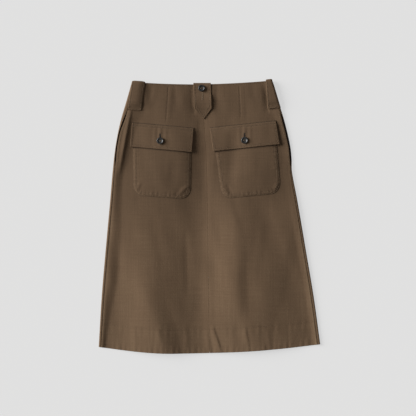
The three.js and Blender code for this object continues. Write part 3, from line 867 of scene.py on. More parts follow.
def facing(key):
    """The strip of pocket bag that shows in one mouth, from under the back to its outer lip."""
    side = SIDES[key]
    wanted = np.linspace(MOUTH_BOTTOM + FACING_ENDS, MOUTH_TOP - FACING_ENDS, FACING_ROWS)
    down = down_at(side["edge"](MOUTH_DOWN), wanted[:, None])
    near = side_seam(side, down)[0]

    def over(inside):
        x = side["edge"](down) - side["sign"] * inside
        return x, row_y(x, down)

    def point(inside, z):
        return np.stack(np.broadcast_arrays(*over(inside), z), -1)

    tucked = [
        point(inside, smooth_height(*over(inside)) - UNDER_BACK)
        for inside in (FACING_TUCK, near + 1)
    ]
    lip = smooth_height(*over(near))
    shown = [point(inside, z) for inside, z in FACING_PATHS[key](lip)]
    corners = np.concatenate(tucked + shown, axis=1)
    if side["sign"] < 0:
        corners = corners[:, ::-1]
    share = np.linspace(0, 3, FACING_POINTS)
    i = np.clip(share.astype(int), 0, 2)
    rows = mix(corners[:, i], corners[:, i + 1], (share - i)[None, :, None])
    name = "side_pocket_facing_piece_" + key
    plain = np.zeros(rows.shape[:2])
    obj = cloth(name, rows, FACING_THICK, SHADED_POCKETING, rows[..., :2], plain, upright=False)
    keep_piece(obj, "pocketing", "side_pocket_facing_" + key)


for key in SIDES:
    facing(key)

# %% [markdown]
# ## The patch pockets
#
# A patch pocket is cut with a seam allowance all round, pressed in over a card with rounded
# lower corners, and sewn on with two rows of stitches, one close to the edge and one inside it.
# The cloth between and beside the rows puckers, because the stitches take up a little length.

# %% Patch pockets
POCKETS = {
    "left": {
        "pocket": [(-200, 230), (-46, 216), (-49, 43), (-198, 55)],
        "corner": (24, 30),
        "flap": [(-200.7, 244.5), (-40.8, 230.2), (-45.8, 166.5), (-206.7, 181.2)],
        "lift": (0.6, 2.0),
        "button": (-127.9, 195.8),
        "creases": [  # inside the pocket: start, end, widths, height
            ((-84, 55), (-54, 80), (4.5, 6), 1.5),
            ((-96, 50), (-70, 70), (5, 5), -0.7),
            ((-190, 62), (-178, 92), (4, 5), 0.9),
            ((-150, 160), (-118, 60), (16, 14), 0.9),
            ((-88, 160), (-100, 66), (12, 12), -0.8),
        ],
    },
    "right": {
        "pocket": [(9, 217), (172, 234), (186, 60), (32, 45)],
        "corner": (26, 30),
        "flap": [(0.3, 231.2), (172.1, 249.4), (182.5, 187.3), (9.6, 168.8)],
        "lift": (1.2, 1.6),
        "button": (91, 197.3),
        "creases": [
            ((34, 78), (52, 52), (4, 4), 1.1),
            ((44, 86), (58, 58), (4, 5), -0.8),
            ((80, 165), (72, 64), (14, 14), 0.8),
            ((132, 172), (118, 66), (14, 14), -0.7),
            ((182, 96), (168, 66), (5, 4), 0.8),
        ],
    },
}
POCKET_GAP = 0.3
POCKET_CROWN = 1.1  # how far a pocket's middle stands off the back
POCKET_STEP = 2.2
POCKET_EDGE_STEPS = (0.5, 1.1, 1.9, 2.8, 4.0)
CORNER_SHARE = 0.17  # share of the height in which the lower corners turn
EDGE_ROW = 1.9  # the stitch rows' distances inside a pocket's edge
INNER_ROW = 8.0


def in_quad(corners, u, v):
    """The place at shares u across and v down a four-cornered piece."""
    top_left, top_right, bottom_right, bottom_left = np.array(corners, float)
    return tuple(
        mix(mix(top_left[k], top_right[k], u), mix(bottom_left[k], bottom_right[k], u), v)
        for k in (0, 1)
    )


def pocket_ends(pocket, v):
    """Where a row of the pocket starts and ends, from 0 to 1, round its lower corners."""
    (x0, _), (x1, _), _, _ = pocket["pocket"]
    height = pocket["pocket"][0][1] - pocket["pocket"][3][1]
    pulls = []
    for radius in pocket["corner"]:
        below = np.clip(radius - (1 - v) * height, 0, radius)
        pulls.append((radius - np.sqrt(radius**2 - below**2)) / (x1 - x0))
    return pulls[0], 1 - pulls[1]


def pocket_outline(pocket, inset=0.0, top=0.0):
    """The sewn edge of a pocket, down one side, along the bottom and up the other."""
    round_corner = 1 - 0.2 * np.cos(np.linspace(0, np.pi / 2, 40)) ** 2
    v = np.concatenate([np.linspace(top, 0.8, 60), round_corner])
    start, end = pocket_ends(pocket, v)
    left = np.stack(in_quad(pocket["pocket"], start, v), -1)
    right = np.stack(in_quad(pocket["pocket"], end, v), -1)[::-1]
    bottom_u = np.linspace(start[-1], end[-1], 60)[1:-1]
    bottom = np.stack(in_quad(pocket["pocket"], bottom_u, 1.0), -1)
    line = np.concatenate([left, bottom, right])
    if inset:
        ahead = np.gradient(line, axis=0)
        ahead /= np.linalg.norm(ahead, axis=1, keepdims=True)
        line = line + inset * np.stack([-ahead[:, 1], ahead[:, 0]], -1)
    return line


def near_line(x, y, line):
    """Distance from each point to a line, and the place along it, both in mm."""
    run = run_along(line)
    a, ab = line[:-1], np.diff(line, axis=0)
    points = np.stack([np.ravel(x), np.ravel(y)], -1)
    best = np.full(len(points), np.inf)
    place = np.zeros(len(points))
    for k in range(len(a)):
        t = np.clip(((points - a[k]) @ ab[k]) / max(ab[k] @ ab[k], 1e-9), 0, 1)
        gap = np.linalg.norm(points - a[k] - t[:, None] * ab[k], axis=1)
        closer = gap < best
        best = np.where(closer, gap, best)
        place = np.where(closer, mix(run[k], run[k + 1], t), place)
    return best.reshape(np.shape(x)), place.reshape(np.shape(x))


def stitched(depth, place, rows, seed):
    """Relief of stitch rows: a furrow along each, and puckers beside them."""
    relief = sum(-0.32 * hump(depth - row, 0.9) for row in rows)
    puckers = 0.36 * ripple(place, 11, seed) * hump(depth - max(rows), 6.5)
    return relief + puckers * ease(0, 2.5, depth)


def pocket_height(pocket, x, y, u, v, depth, place, seed):
    """A pocket's outer face: the back's height, its own crown and creases, and its edge."""
    crown = POCKET_CROWN * np.sqrt(np.clip(16 * u * (1 - u) * v * (1 - v), 0, 1))
    kept = ease(1, 9, depth)
    creased = sum(crease(x, y, *c) for c in pocket["creases"]) * kept
    relief = stitched(depth, place, (EDGE_ROW, INNER_ROW), seed)
    pressed = rounded(depth, 0.5) + 0.9 * hump(depth, 3.4)
    return lay_height(x, y) + POCKET_GAP + CLOTH + crown + creased + relief - pressed


def patch_pocket(key, seed):
    pocket = POCKETS[key]
    even = np.linspace(0, 1 - CORNER_SHARE, 62)
    near_bottom = 1 - CORNER_SHARE * (1 - np.sin(np.linspace(0, np.pi / 2, 34)))[1:]
    v = np.concatenate([even, near_bottom])[::-1, None]
    start, end = pocket_ends(pocket, v)
    width = pocket["pocket"][1][0] - pocket["pocket"][0][0]
    places = spaced(width, POCKET_STEP, POCKET_EDGE_STEPS) / width
    u = mix(start, end, places[None, :])
    x, y = in_quad(pocket["pocket"], u, v)
    depth, place = near_line(x, y, pocket_outline(pocket))
    z = pocket_height(pocket, x, y, u, v, depth, place, seed)
    # painted shade along the pocket's sewn edge and its inner row of stitches, and slightly paler
    # just inside the edge
    tone = -0.4 * hump(depth, 1.0) + 0.05 * hump(depth - 2.6, 0.8)
    tone = tone - 0.12 * hump(depth - INNER_ROW, 1.2) + painted_falloff(y) - 0.02
    flap_hem = near_line(x, y, np.array(pocket["flap"][2:]))[0]
    tone = tone - 0.7 * hump(flap_hem, 2.6)  # painted shadow: the pocket is drawn darker along under the flap's lower edge
    rows = np.stack([x, y, z], axis=-1)
    name = "patch_pocket_piece_" + key
    obj = cloth(name, rows, CLOTH * 0.8, TWILL, np.stack([x + 40, y + 300], -1), tone)
    keep_piece(obj, "twill", "patch_pocket_" + key)


for number, key in enumerate(POCKETS):
    patch_pocket(key, 21 + number)

# %% [markdown]
# ## The flaps
#
# A flap is two layers, sewn together inside out, turned and stitched round. It is sewn to the
# back along its top with two rows, then hangs free over the pocket, so its lower corners stand
# off. The buttonhole pulls the cloth into short upright ripples above the button.

# %% Pocket flaps
FLAP_THICK = 1.8
FLAP_WIDTH, FLAP_HEIGHT = 164.0, 64.0
FLAP_STEPS = (1.7, 1.6)  # across it and down it
FLAP_EDGE_STEPS = (0.4, 0.9, 1.6, 2.5, 3.8)
FLAP_ROW = 5.0  # the row round the flap's free edges
TOP_ROWS = (1.6, 7.4)  # and the two that sew its top to the back
FLAP_SEWN = 0.75  # its face is its thickness and this over the back where it is sewn,
FLAP_OVER_POCKET = 0.3  # and its thickness and this over the pocket lower down
PULL_UP = 14  # the cloth is pulled most at this height over the button
PULL_PITCH, PULL_REACH = 15, 19
SLIT_TOP = (15, 21)  # the slit's painted shade fades out between these heights over the button


def flap_point(pocket, u, v, seed):
    """A point of the flap's outer face, with its depth from the edges and its tone."""
    x, y = in_quad(pocket["flap"], u, v)
    corners = np.array(pocket["flap"], float)
    width = np.linalg.norm(corners[1] - corners[0])
    height = np.linalg.norm(corners[3] - corners[0])
    side_depth = np.minimum(u, 1 - u) * width
    top_depth, bottom_depth = v * height, (1 - v) * height
    depth = np.minimum(np.minimum(side_depth, bottom_depth), top_depth)
    free_depth = np.minimum(side_depth, bottom_depth)
    sewn = lay_height(x, y) + FLAP_SEWN
    lying = lay_height(x, y) + POCKET_GAP + CLOTH + POCKET_CROWN + FLAP_OVER_POCKET
    lift = pocket["lift"][0] * (1 - u) ** 3 + pocket["lift"][1] * u**3
    z = mix(sewn, lying, ease(0, 0.2, v)) + FLAP_THICK + lift * v * v
    bx, by = pocket["button"]
    from_pull = np.hypot(x - bx, (y - by - PULL_UP) / 1.4)
    pulled = 0.42 * np.cos((x - bx) * 2 * np.pi / PULL_PITCH) * hump(from_pull, PULL_REACH)
    swell = 0.28 * ripple(x, 46, seed + 3) * ease(0, 0.3, v)
    z = z + (pulled + swell) * ease(1, 9, depth)
    z = z - 0.34 * hump(free_depth - FLAP_ROW, 0.9) * ease(0, 3, top_depth)
    puckers = 0.2 * ripple(x + y, 9, seed) * hump(free_depth - FLAP_ROW, 4)
    z = z + puckers * ease(0, 2, depth)
    for row in TOP_ROWS:
        z = z - 0.4 * hump(top_depth - row, 0.8)
    z = z - rounded(depth, 1.0)
    # paler along the free edges, and painted shade along the stitch rows, along the sewn top edge
    # and in the buttonhole's slit
    tone = 0.06 * hump(free_depth, 1.4) - 0.16 * hump(free_depth - FLAP_ROW, 1.1)
    tone = tone - 1.15 * hump(top_depth, 1.8) - 0.45 * hump(top_depth - TOP_ROWS[1], 1.3)
    slit = hump(x - bx, 1.9) * ease(-2, 0, y - by) * (1 - ease(*SLIT_TOP, y - by))
    return x, y, z - 0.9 * slit, tone + painted_falloff(y) - 1.3 * slit


def pocket_flap(key, seed):
    """A flap, its rows running up from its free edge."""
    pocket = POCKETS[key]
    u = spaced(FLAP_WIDTH, FLAP_STEPS[0], FLAP_EDGE_STEPS)[None, :] / FLAP_WIDTH
    v = 1 - spaced(FLAP_HEIGHT, FLAP_STEPS[1], FLAP_EDGE_STEPS)[:, None] / FLAP_HEIGHT
    x, y, z, tone = flap_point(pocket, u, v, seed)
    rows = np.stack(np.broadcast_arrays(x, y, z), axis=-1)
    name = "pocket_flap_piece_" + key
    grain = np.stack([rows[..., 0] + 210, rows[..., 1] - 120], -1)
    obj = cloth(name, rows, FLAP_THICK * 0.85, TWILL, grain, tone)
    keep_piece(obj, "twill", "pocket_flap_" + key)
    print(name, "at", [round(c) for c in pocket["flap"][0]], "mm")


for number, key in enumerate(POCKETS):
    pocket_flap(key, 31 + number)

# %% [markdown]
# ## The belt loops and the middle tab
#
# All three are straps of two layers that start behind the waist edge, go over it and stand off
# the back far enough for a belt, before their lower ends are sewn down. The loop on the right
# lies on the side fold and bends round it. The tab is wide, ends in a point and is buttoned.

# %% Straps
STRAP_THICK = 1.8
STRAP_STEP = 1.6
STRAP_EDGE_STEPS = (0.35, 0.8, 1.5, 2.4, 3.6)
LOOP_STANDS = 5.4
LOOP_PATH = [  # distance below the waist edge, and height over the back
    (-1.6, -0.4), (-2.8, 1.9), (-1.4, 4.0), (4, 5.1), (14, LOOP_STANDS), (36, LOOP_STANDS),
    (54, 4.5), (65, 2.0), (73, 1.2),
]
TAB_PATH = [
    (-1.3, -0.2), (-2.5, 1.4), (-1, 2.5), (6, 3.0), (22, 3.3), (31, 5.2), (42, 6.6), (55, 6.0),
    (70, 3.4), (80, 1.9), (90, 1.5),
]
LOOP_LEFT = {"middle": -184.2, "half": 17, "slant": -0.145, "bow": (0.8, 3.4)}
LOOP_RIGHT = {
    "inner": 146.5, "slant": 0.06, "proud": (3.4, 1.2), "eases": 55, "bend": 6, "turn": 1.05,
    "corners": (0.6, 1.3),
}
LOOP_LANDS = (44, 68)  # it comes down on to the back between these distances from the waist
TAB_LANDS = (60, 88)
RIGHT_FOLD = 9  # the right loop takes its height from the back, so far inside the edge
LOOP_CORNER = 1.9  # how far the corners of a loop's folded top drop
TAB_LEAN = 0.035  # how much the tab runs to the right, for each mm down
TAB_SLIT = (-18.2, 302, 322)  # its buttonhole's x, and its lower and upper ends
TAB = {"middle": -19.3, "half": 22.8, "straight": 63, "length": 90, "tip": 1.2}


def strap_path(path, share):
    """Distance below the waist edge and height over the back, at shares of a strap's length."""
    stations = np.arange(len(path)) / (len(path) - 1)
    return [through(list(zip(stations, column)), share) for column in zip(*path)]


def corner_drop(below, t):
    """The folded top of a loop is pressed round at its two corners."""
    return LOOP_CORNER * np.abs(t) ** 7 * (1 - ease(0, 14, below))


def left_loop(share, t):
    """The middle of the left loop's cloth, at a share of its length and t across, -1 to 1."""
    below, above = strap_path(LOOP_PATH, share)
    x = LOOP_LEFT["middle"] + LOOP_LEFT["slant"] * np.maximum(below, 0) + t * LOOP_LEFT["half"]
    y = waist_y(x) - below - corner_drop(below, t)
    ground = smooth_height(x, np.minimum(y, waist_y(x)))
    edge = left_edge(np.maximum(below, 0) / FLAT_HEIGHT)
    highest = smooth_height(edge + ROLL_FLAT, np.minimum(y, waist_y(x)))
    bow = np.where(t < 0, LOOP_LEFT["bow"][0], LOOP_LEFT["bow"][1])
    base = mix(highest - bow * t * t, ground, ease(*LOOP_LANDS, below))
    return np.stack(np.broadcast_arrays(x, y, base + above), -1)


def right_loop(share, t):
    """The same of the right loop, which bends round the side fold."""
    below, above = strap_path(LOOP_PATH, share)
    down = np.maximum(below, 0) / FLAT_HEIGHT
    inner = LOOP_RIGHT["inner"] + LOOP_RIGHT["slant"] * np.maximum(below, 0)
    bend = LOOP_RIGHT["bend"]
    proud = mix(*LOOP_RIGHT["proud"], ease(0, LOOP_RIGHT["eases"], below))
    bend_from = right_edge(down) + proud - bend
    run = (t + 1) / 2 * (bend_from - inner + bend * LOOP_RIGHT["turn"])
    angle = np.maximum(0, run - (bend_from - inner)) / bend
    x = np.where(angle > 0, bend_from + bend * np.sin(angle), inner + run)
    inner_corner, outer_corner = LOOP_RIGHT["corners"]
    drop_share = np.where(t > 0, outer_corner, inner_corner)
    y = waist_y(x) - below - corner_drop(below, t) * drop_share
    base = smooth_height(right_edge(down) - RIGHT_FOLD, np.minimum(y, waist_y(x)))
    drop = bend * (1 - np.cos(angle)) * (base + above) / (base + LOOP_STANDS)
    return np.stack(np.broadcast_arrays(x, y, base + above - drop), -1)


def tab_shape(share, t):
    """And of the tab, which narrows to its point."""
    below, above = strap_path(TAB_PATH, share)
    taper = np.clip((below - TAB["straight"]) / (TAB["length"] - TAB["straight"]), 0, 1)
    half = mix(TAB["half"], TAB["tip"], taper)
    middle = TAB["middle"] + TAB_LEAN * np.maximum(below, 0)
    x = middle + t * half
    y = waist_y(middle) - below
    ground = smooth_height(x, np.minimum(y, waist_y(x)))
    bridged = smooth_height(middle, np.minimum(y, waist_y(x)))
    carried = mix(bridged, ground, ease(*TAB_LANDS, below))
    return np.stack(np.broadcast_arrays(x, y, np.maximum(carried, ground) + above), -1)


def strap_edges(width, length):
    """Shares of a strap's length and places across it, close together near its edges."""
    across = spaced(width, STRAP_STEP, STRAP_EDGE_STEPS) / width
    along = spaced(length, STRAP_STEP, STRAP_EDGE_STEPS) / length
    return along[::-1, None], (2 * across - 1)[None, :]


def strap(name, shape, width, length, node, rows_in, buttonhole=None):
    """A strap from its shape, with a stitch row inside each edge."""
    share, t = strap_edges(width, length)
    middle = shape(share, t)
    normal = row_normals(middle)
    side = np.broadcast_to((1 - np.abs(t)) * width / 2, middle.shape[:2])
    low_end = np.broadcast_to((1 - share) * length, middle.shape[:2])
    depth = np.minimum(side, low_end)
    relief = -0.3 * hump(depth - rows_in, 0.8) - rounded(depth, 0.8)
    place = share * length + t * width / 2
    puckers = 0.16 * ripple(place, 9, 41) * hump(depth - rows_in, 3)
    relief = relief + puckers * ease(0, 1.5, depth)
    # paler along the strap's edges, and painted shade along its stitch rows
    tone = 0.2 * hump(depth, 1.3) - 0.14 * hump(depth - rows_in, 1.0)
    tone = tone + painted_falloff(middle[..., 1])
    if buttonhole:
        x, (first, last) = middle[..., 0] - buttonhole[0], buttonhole[1:]
        slit = hump(x, 0.9) * ease(first, first + 1.5, middle[..., 1])
        slit = slit * (1 - ease(last - 1.5, last, middle[..., 1]))
        relief = relief - 0.3 * slit
        # painted shade in the buttonhole's slit
        tone = tone - 0.45 * slit
    rows = middle + normal * (STRAP_THICK / 2 + relief)[..., None]
    grain = np.stack([np.broadcast_to(t * width / 2, side.shape) + width, low_end + 500], -1)
    obj = cloth(name, rows, STRAP_THICK * 0.9, TWILL, grain, tone, upright=False)
    keep_piece(obj, "twill", node)
    print(name, width, "x", length, "mm")


strap("belt_loop_piece_left", left_loop, 34.0, 84.0, "belt_loop_left", 3.2)
strap("belt_loop_piece_right", right_loop, 28.0, 84.0, "belt_loop_right", 3.2)
strap(
    "middle_tab_piece", tab_shape, 45.6, 96.0, "middle_tab", 4.6,
    buttonhole=TAB_SLIT,
)

# %% [markdown]
# ## The stitches
#
# Topstitching is a lockstitch about 3 mm long, in thread a third of a millimetre thick. Each
# stitch here is a small rounded bar of mesh that lies in the furrow made for its row. A ray
# dropped on to the finished cloth finds where it lies, so a row follows every pucker.

# %% Sewing helpers
STITCH_LENGTH = 2.3
STITCH_PITCH = 3.1
STITCH_SUNK = 0.02
STITCH_BOW = 0.1
STEEPEST_STITCH = 1.2  # a stitch whose ends differ more than this in height is left out
THREAD_RADIUS = 0.26
RINGS = [(0.0, 0.35), (0.12, 0.85), (0.5, 1.0), (0.88, 0.85), (1.0, 0.35)]
SIDES_ROUND = 6
RAY_FROM = 60  # well above the highest fold


def surface_of(obj):
    return BVHTree.FromObject(obj, bpy.context.evaluated_depsgraph_get())


def drop(tree, x, y):
    """Where a ray dropped at (x, y) lands, in mm, or None."""
    hit = tree.ray_cast((x * MM, y * MM, RAY_FROM * MM), (0, 0, -1))
    return None if hit[0] is None else np.array(hit[0]) / MM


def spaced_along(line, pitch):
    """Points at an even pitch along a line, and the line's direction at each."""
    line = np.asarray(line, float)
    run = run_along(line)
    places = np.arange(pitch / 2, run[-1], pitch)
    points, ahead = (
        np.stack([np.interp(at, run, column) for column in line.T], -1)
        for at in (places, places + 0.4)
    )
    direction = ahead - points
    direction /= np.maximum(np.linalg.norm(direction, axis=1, keepdims=True), 1e-9)
    return points, direction


def thread_bar(start, end, radius, bow):
    """Points and faces of one rounded bar of thread, bowed up a little in its middle."""
    axis = (end - start) / max(np.linalg.norm(end - start), 1e-9)
    side = np.cross(axis, (0, 0, 1))
    side /= max(np.linalg.norm(side), 1e-9)
    up = np.cross(side, axis)
    points = []
    for share, fat in RINGS:
        centre = mix(start, end, share) + up * bow * math.sin(math.pi * share)
        for k in range(SIDES_ROUND):
            turn = 2 * math.pi * k / SIDES_ROUND
            points.append(centre + radius * fat * (math.cos(turn) * side + math.sin(turn) * up))
    faces = []
    for ring in range(len(RINGS) - 1):
        for k in range(SIDES_ROUND):
            a, b = ring * SIDES_ROUND + k, ring * SIDES_ROUND + (k + 1) % SIDES_ROUND
            faces.append((b, a, a + SIDES_ROUND, b + SIDES_ROUND))
    faces.append(tuple(range(SIDES_ROUND)))
    faces.append(tuple(reversed(range(len(points) - SIDES_ROUND, len(points)))))
    return points, faces


def join_bars(name, bars, material):
    """One mesh from many bars of thread."""
    points, faces = [], []
    for bar_points, bar_faces in bars:
        first = len(points)
        points.extend(bar_points)
        faces.extend(tuple(first + k for k in face) for face in bar_faces)
    obj = mesh_piece(name, points, faces, material)
    keep_piece(obj, "twill")
    print(name, "has", len(bars), "stitches")


def sew(tree, line, pitch=STITCH_PITCH, length=STITCH_LENGTH):
    """The bars of one row of stitches along a line of (x, y), lying on a piece."""
    bars = []
    points, direction = spaced_along(line, pitch)
    for point, ahead in zip(points, direction):
        ends = [drop(tree, *(point + sign * ahead * length / 2)) for sign in (-1, 1)]
        if any(end is None for end in ends) or abs(ends[0][2] - ends[1][2]) > STEEPEST_STITCH:
            continue
        lift = np.array([0, 0, THREAD_RADIUS - STITCH_SUNK])
        bars.append(thread_bar(ends[0] + lift, ends[1] + lift, THREAD_RADIUS, STITCH_BOW))
    return bars


# %% Rows of topstitching
SEAM_X = {"waist": float(centre_x(340.0)), "hem": float(centre_x(-290.0))}
LEVEL_ROWS = {  # where the rows along the waist and the hem start and end, in x
    "left": {"waist": (-166, SEAM_X["waist"] - 24), "hem": (-276, SEAM_X["hem"] - 2)},
    "right": {"waist": (SEAM_X["waist"] + 25, 146), "hem": (SEAM_X["hem"] + 2, 270)},
}
MOUTH_ROW = 4.6  # the row along a pocket mouth, inside the back's own edge
FLAP_ROW_TOP = 0.12  # share of a flap's height at which the row round it starts
FLAP_ENDS = (0.012, 0.988)  # shares of its width at which its top rows end


def edge_line(side, first, last, inside):
    """A line down a side edge of the skirt, so far inside the back's own edge."""
    y = np.linspace(first, last, 60)
    down = down_at(side["edge"](MOUTH_DOWN), y)
    x = side["edge"](down) - side["sign"] * (side_seam(side, down)[0] + inside)
    return np.stack([x, y], -1)


def level_line(y_of_x, ends, raised):
    """A line at a height over the waist's or the hem's edge."""
    x = np.linspace(*ends, 200)
    return np.stack([x, y_of_x(x) + raised], -1)


for key, pocket in POCKETS.items():
    on_pocket = surface_of(bpy.data.objects["patch_pocket_piece_" + key])
    on_flap = surface_of(bpy.data.objects["pocket_flap_piece_" + key])
    bars = []
    for inset in (EDGE_ROW, INNER_ROW):
        bars += sew(on_pocket, pocket_outline(pocket, inset, 0.3))
    join_bars("pocket_topstitching_" + key, bars, THREAD)
    left, low = FLAP_ROW / FLAP_WIDTH, 1 - FLAP_ROW / FLAP_HEIGHT
    corners = [(left, FLAP_ROW_TOP), (left, low), (1 - left, low), (1 - left, FLAP_ROW_TOP)]
    bars = sew(on_flap, [in_quad(pocket["flap"], u, v) for u, v in corners])
    for row in TOP_ROWS:
        bars += sew(on_flap, [in_quad(pocket["flap"], u, row / FLAP_HEIGHT) for u in FLAP_ENDS])
    join_bars("flap_topstitching_" + key, bars, THREAD)

bars = []
for key, side in SIDES.items():
    on_back = surface_of(BACKS[key])
    bars += sew(on_back, level_line(waist_y, LEVEL_ROWS[key]["waist"], -WAIST_ROW))
    hem = level_line(hem_y, LEVEL_ROWS[key]["hem"], HEM_DEPTH)
    bars += sew(on_back, hem, pitch=4.2, length=2.0)
    bars += sew(on_back, edge_line(side, MOUTH_TOP - 4, MOUTH_BOTTOM + 4, MOUTH_ROW))
join_bars("back_topstitching", bars, THREAD)

# %% Rows on the straps
LOOP_SIDES = np.linspace(0.28, 0.95, 40)  # shares of a strap's length
TAB_SIDES = np.linspace(0.26, 0.70, 40)
LOOP_END = 0.955
TAB_TIP = (0.70, 0.93)
STRAP_ROWS = {  # shares of the strap's length, and places across it from -1 to 1
    "belt_loop_piece_left": (
        left_loop, [(LOOP_SIDES, -0.81), (LOOP_SIDES, 0.81), (LOOP_END, (-0.8, 0.8))]
    ),
    "belt_loop_piece_right": (right_loop, [(LOOP_SIDES, -0.77), (LOOP_END, (-0.76, 0.5))]),
    "middle_tab_piece": (
        tab_shape,
        [(TAB_SIDES, -0.8), (TAB_SIDES, 0.8), (TAB_TIP, (-0.8, 0)), (TAB_TIP, (0.8, 0))],
    ),
}

bars = []
for name, (shape, rows) in STRAP_ROWS.items():
    on_strap = surface_of(bpy.data.objects[name])
    for shares, across in rows:
        places = np.broadcast(shares, across)
        bars += sew(on_strap, [shape(np.array(s), np.array(t))[:2] for s, t in places])
join_bars("strap_topstitching", bars, THREAD)

# %% [markdown]
# ## Buttonholes
#
# A worked buttonhole is a slit with dense stitches across both its lips and a bar at each end.
# The bars of thread lie side by side, so they are the same rounded bars, packed close.

# %% Worked buttonholes
BUTTONHOLE_PITCH = 0.62
LIP = (0.25, 1.75)  # a lip's stitches run between these distances from the slit
BUTTONHOLE_BAR = 1.8  # half the length of the bar at each end


def lifted_bar(ends, lift, radius, bow):
    return thread_bar(*[end + np.array([0, 0, lift]) for end in ends], radius, bow)


def buttonhole(name, obj, x, low, high, thread):
    """Stitches across both lips of an upright slit, and a bar at each end of it."""
    tree = surface_of(obj)
    bars = []
    for y in np.arange(low, high, BUTTONHOLE_PITCH):
        for sign in (-1, 1):
            ends = [drop(tree, x + sign * out, y) for out in LIP]
            if all(end is not None for end in ends):
                ends[0][2] = ends[1][2] - 0.1
                bars.append(lifted_bar(ends, 0.16, 0.3, 0.18))
    for y in (low - 0.4, high + 0.2):
        ends = [drop(tree, x + out, y) for out in (-BUTTONHOLE_BAR, BUTTONHOLE_BAR)]
        if all(end is not None for end in ends):
            bars.append(lifted_bar(ends, 0.2, 0.42, 0.2))
    join_bars(name, bars, thread)


for key, pocket in POCKETS.items():
    x, y = pocket["button"]
    flap = bpy.data.objects["pocket_flap_piece_" + key]
    buttonhole("flap_buttonhole_" + key, flap, x, y + 1, y + 18, DARK_THREAD)
x, low, high = TAB_SLIT
tab = bpy.data.objects["middle_tab_piece"]
buttonhole("tab_buttonhole", tab, x, low + 1, high - 1, THREAD)

# %% [markdown]
# ## The buttons
#
# A four-hole horn button is turned on a lathe: a flat back, a fat rounded rim and a dished
# middle, then drilled. The profile is turned round its axis here too, and the holes are cut
# with a boolean. Two strands of thread run through each pair of holes.

# %% Buttons
BUTTON_PROFILE = [
    (0.0, 0.0), (6.8, 0.0), (7.7, 0.25), (8.45, 0.8), (8.9, 1.5), (9.0, 2.1), (8.8, 2.7),
    (8.35, 3.15), (7.7, 3.38), (7.0, 3.3), (6.4, 3.0), (5.8, 2.6), (5.0, 2.3), (3.6, 2.14),
    (1.8, 2.08), (0.0, 2.06),
]
BUTTON_SIDES, DRILL_SIDES = 56, 20
HOLE_OUT = 1.75
HOLE_RADIUS = 0.95
DRILL_PROFILE = [(0, -2), (HOLE_RADIUS, -2), (HOLE_RADIUS, 6), (0, 6)]
STRAND_BESIDE = 0.26  # the two strands lie this far to each side of the line of the holes
STRAND_HEIGHT = 2.15
SHANK = (-0.5, 2.2)  # and go down through each hole between these heights
BUTTONS = {
    "flap_button_piece_left": "flap_button_left",
    "flap_button_piece_right": "flap_button_right",
    "tab_button_piece": "tab_button",
}


def turned(profile, sides):
    """A solid of revolution, its first and last points on the axis."""
    points = [np.array([0, 0, profile[0][1]])]
    for r, z in profile[1:-1]:
        for k in range(sides):
            turn = 2 * math.pi * k / sides
            points.append(np.array([r * math.cos(turn), r * math.sin(turn), z]))
    points.append(np.array([0, 0, profile[-1][1]]))
    rings = [1 + ring * sides for ring in range(len(profile) - 2)]
    around = [(k, (k + 1) % sides) for k in range(sides)]
    faces = [(0, 1 + after, 1 + k) for k, after in around]
    for ring in rings[:-1]:
        for k, after in around:
            faces.append((ring + k, ring + after, ring + after + sides, ring + k + sides))
    faces += [(len(points) - 1, rings[-1] + k, rings[-1] + after) for k, after in around]
    return points, faces


def cut_with(obj, cutter):
    """Takes the cutter out of the object, and the cutter away."""
    cut = obj.modifiers.new("hole", "BOOLEAN")
    cut.operation = "DIFFERENCE"
    cut.solver = "EXACT"
    cut.object = cutter
    with bpy.context.temp_override(object=obj, active_object=obj):
        bpy.ops.object.modifier_apply(modifier=cut.name)
    bpy.data.objects.remove(cutter)


def horn_button(name, node):
    """A button placed where the frame's is, with its four holes and its thread."""
    corners = np.array([v.co for v in frame["nodes"][node].data.vertices]) / MM
    centre = corners.mean(axis=0)
    _, _, axes = np.linalg.svd(corners - centre)
    up = axes[2] * np.sign(axes[2][2])
    across = np.cross((0, 1, 0), up)
    across /= np.linalg.norm(across)
    turn = np.stack([across, np.cross(up, across), up], axis=1)
    foot = centre + up * ((corners - centre) @ up).min()

    def placed(points, x=0.0, y=0.0):
        return [foot + turn @ (np.array(p) + np.array([x, y, 0])) for p in points]

    points, faces = turned(BUTTON_PROFILE, BUTTON_SIDES)
    obj = mesh_piece(name, placed(points), faces, HORN)
    holes = [(sx * HOLE_OUT, sy * HOLE_OUT) for sx in (-1, 1) for sy in (-1, 1)]
    for x, y in holes:
        points, faces = turned(DRILL_PROFILE, DRILL_SIDES)
        cut_with(obj, mesh_piece(name + "_drill", placed(points, x, y), faces, HORN))
    keep_piece(obj, "horn", node)
    bars = []
    for x in (-HOLE_OUT, HOLE_OUT):
        for beside in (-STRAND_BESIDE, STRAND_BESIDE):
            strand = [(x + beside, y, STRAND_HEIGHT) for y in (-HOLE_OUT, HOLE_OUT)]
            bars.append(thread_bar(*placed(strand), 0.32, 0.3))
        for y in (-HOLE_OUT, HOLE_OUT):
            bars.append(thread_bar(*placed([(x, y, z) for z in SHANK]), 0.55, 0.0))
    join_bars(name + "_thread", bars, THREAD)


for name, node in BUTTONS.items():
    horn_button(name, node)

# %% [markdown]
# ## The floor, the light and the camera
#
# The skirt lies on a pale matte board, so the board must stay light without a hard shadow. A
# large soft light comes from the left and a little from the waist end, which shows the folds,
# and an even pale surround fills the rest. The camera looks straight down through a long lens.

# %% Floor
FLOOR_SIZE = 9000
FLOOR_CELLS = 24
FLOOR_BELOW = 0.05  # its face is this far below the skirt's under side


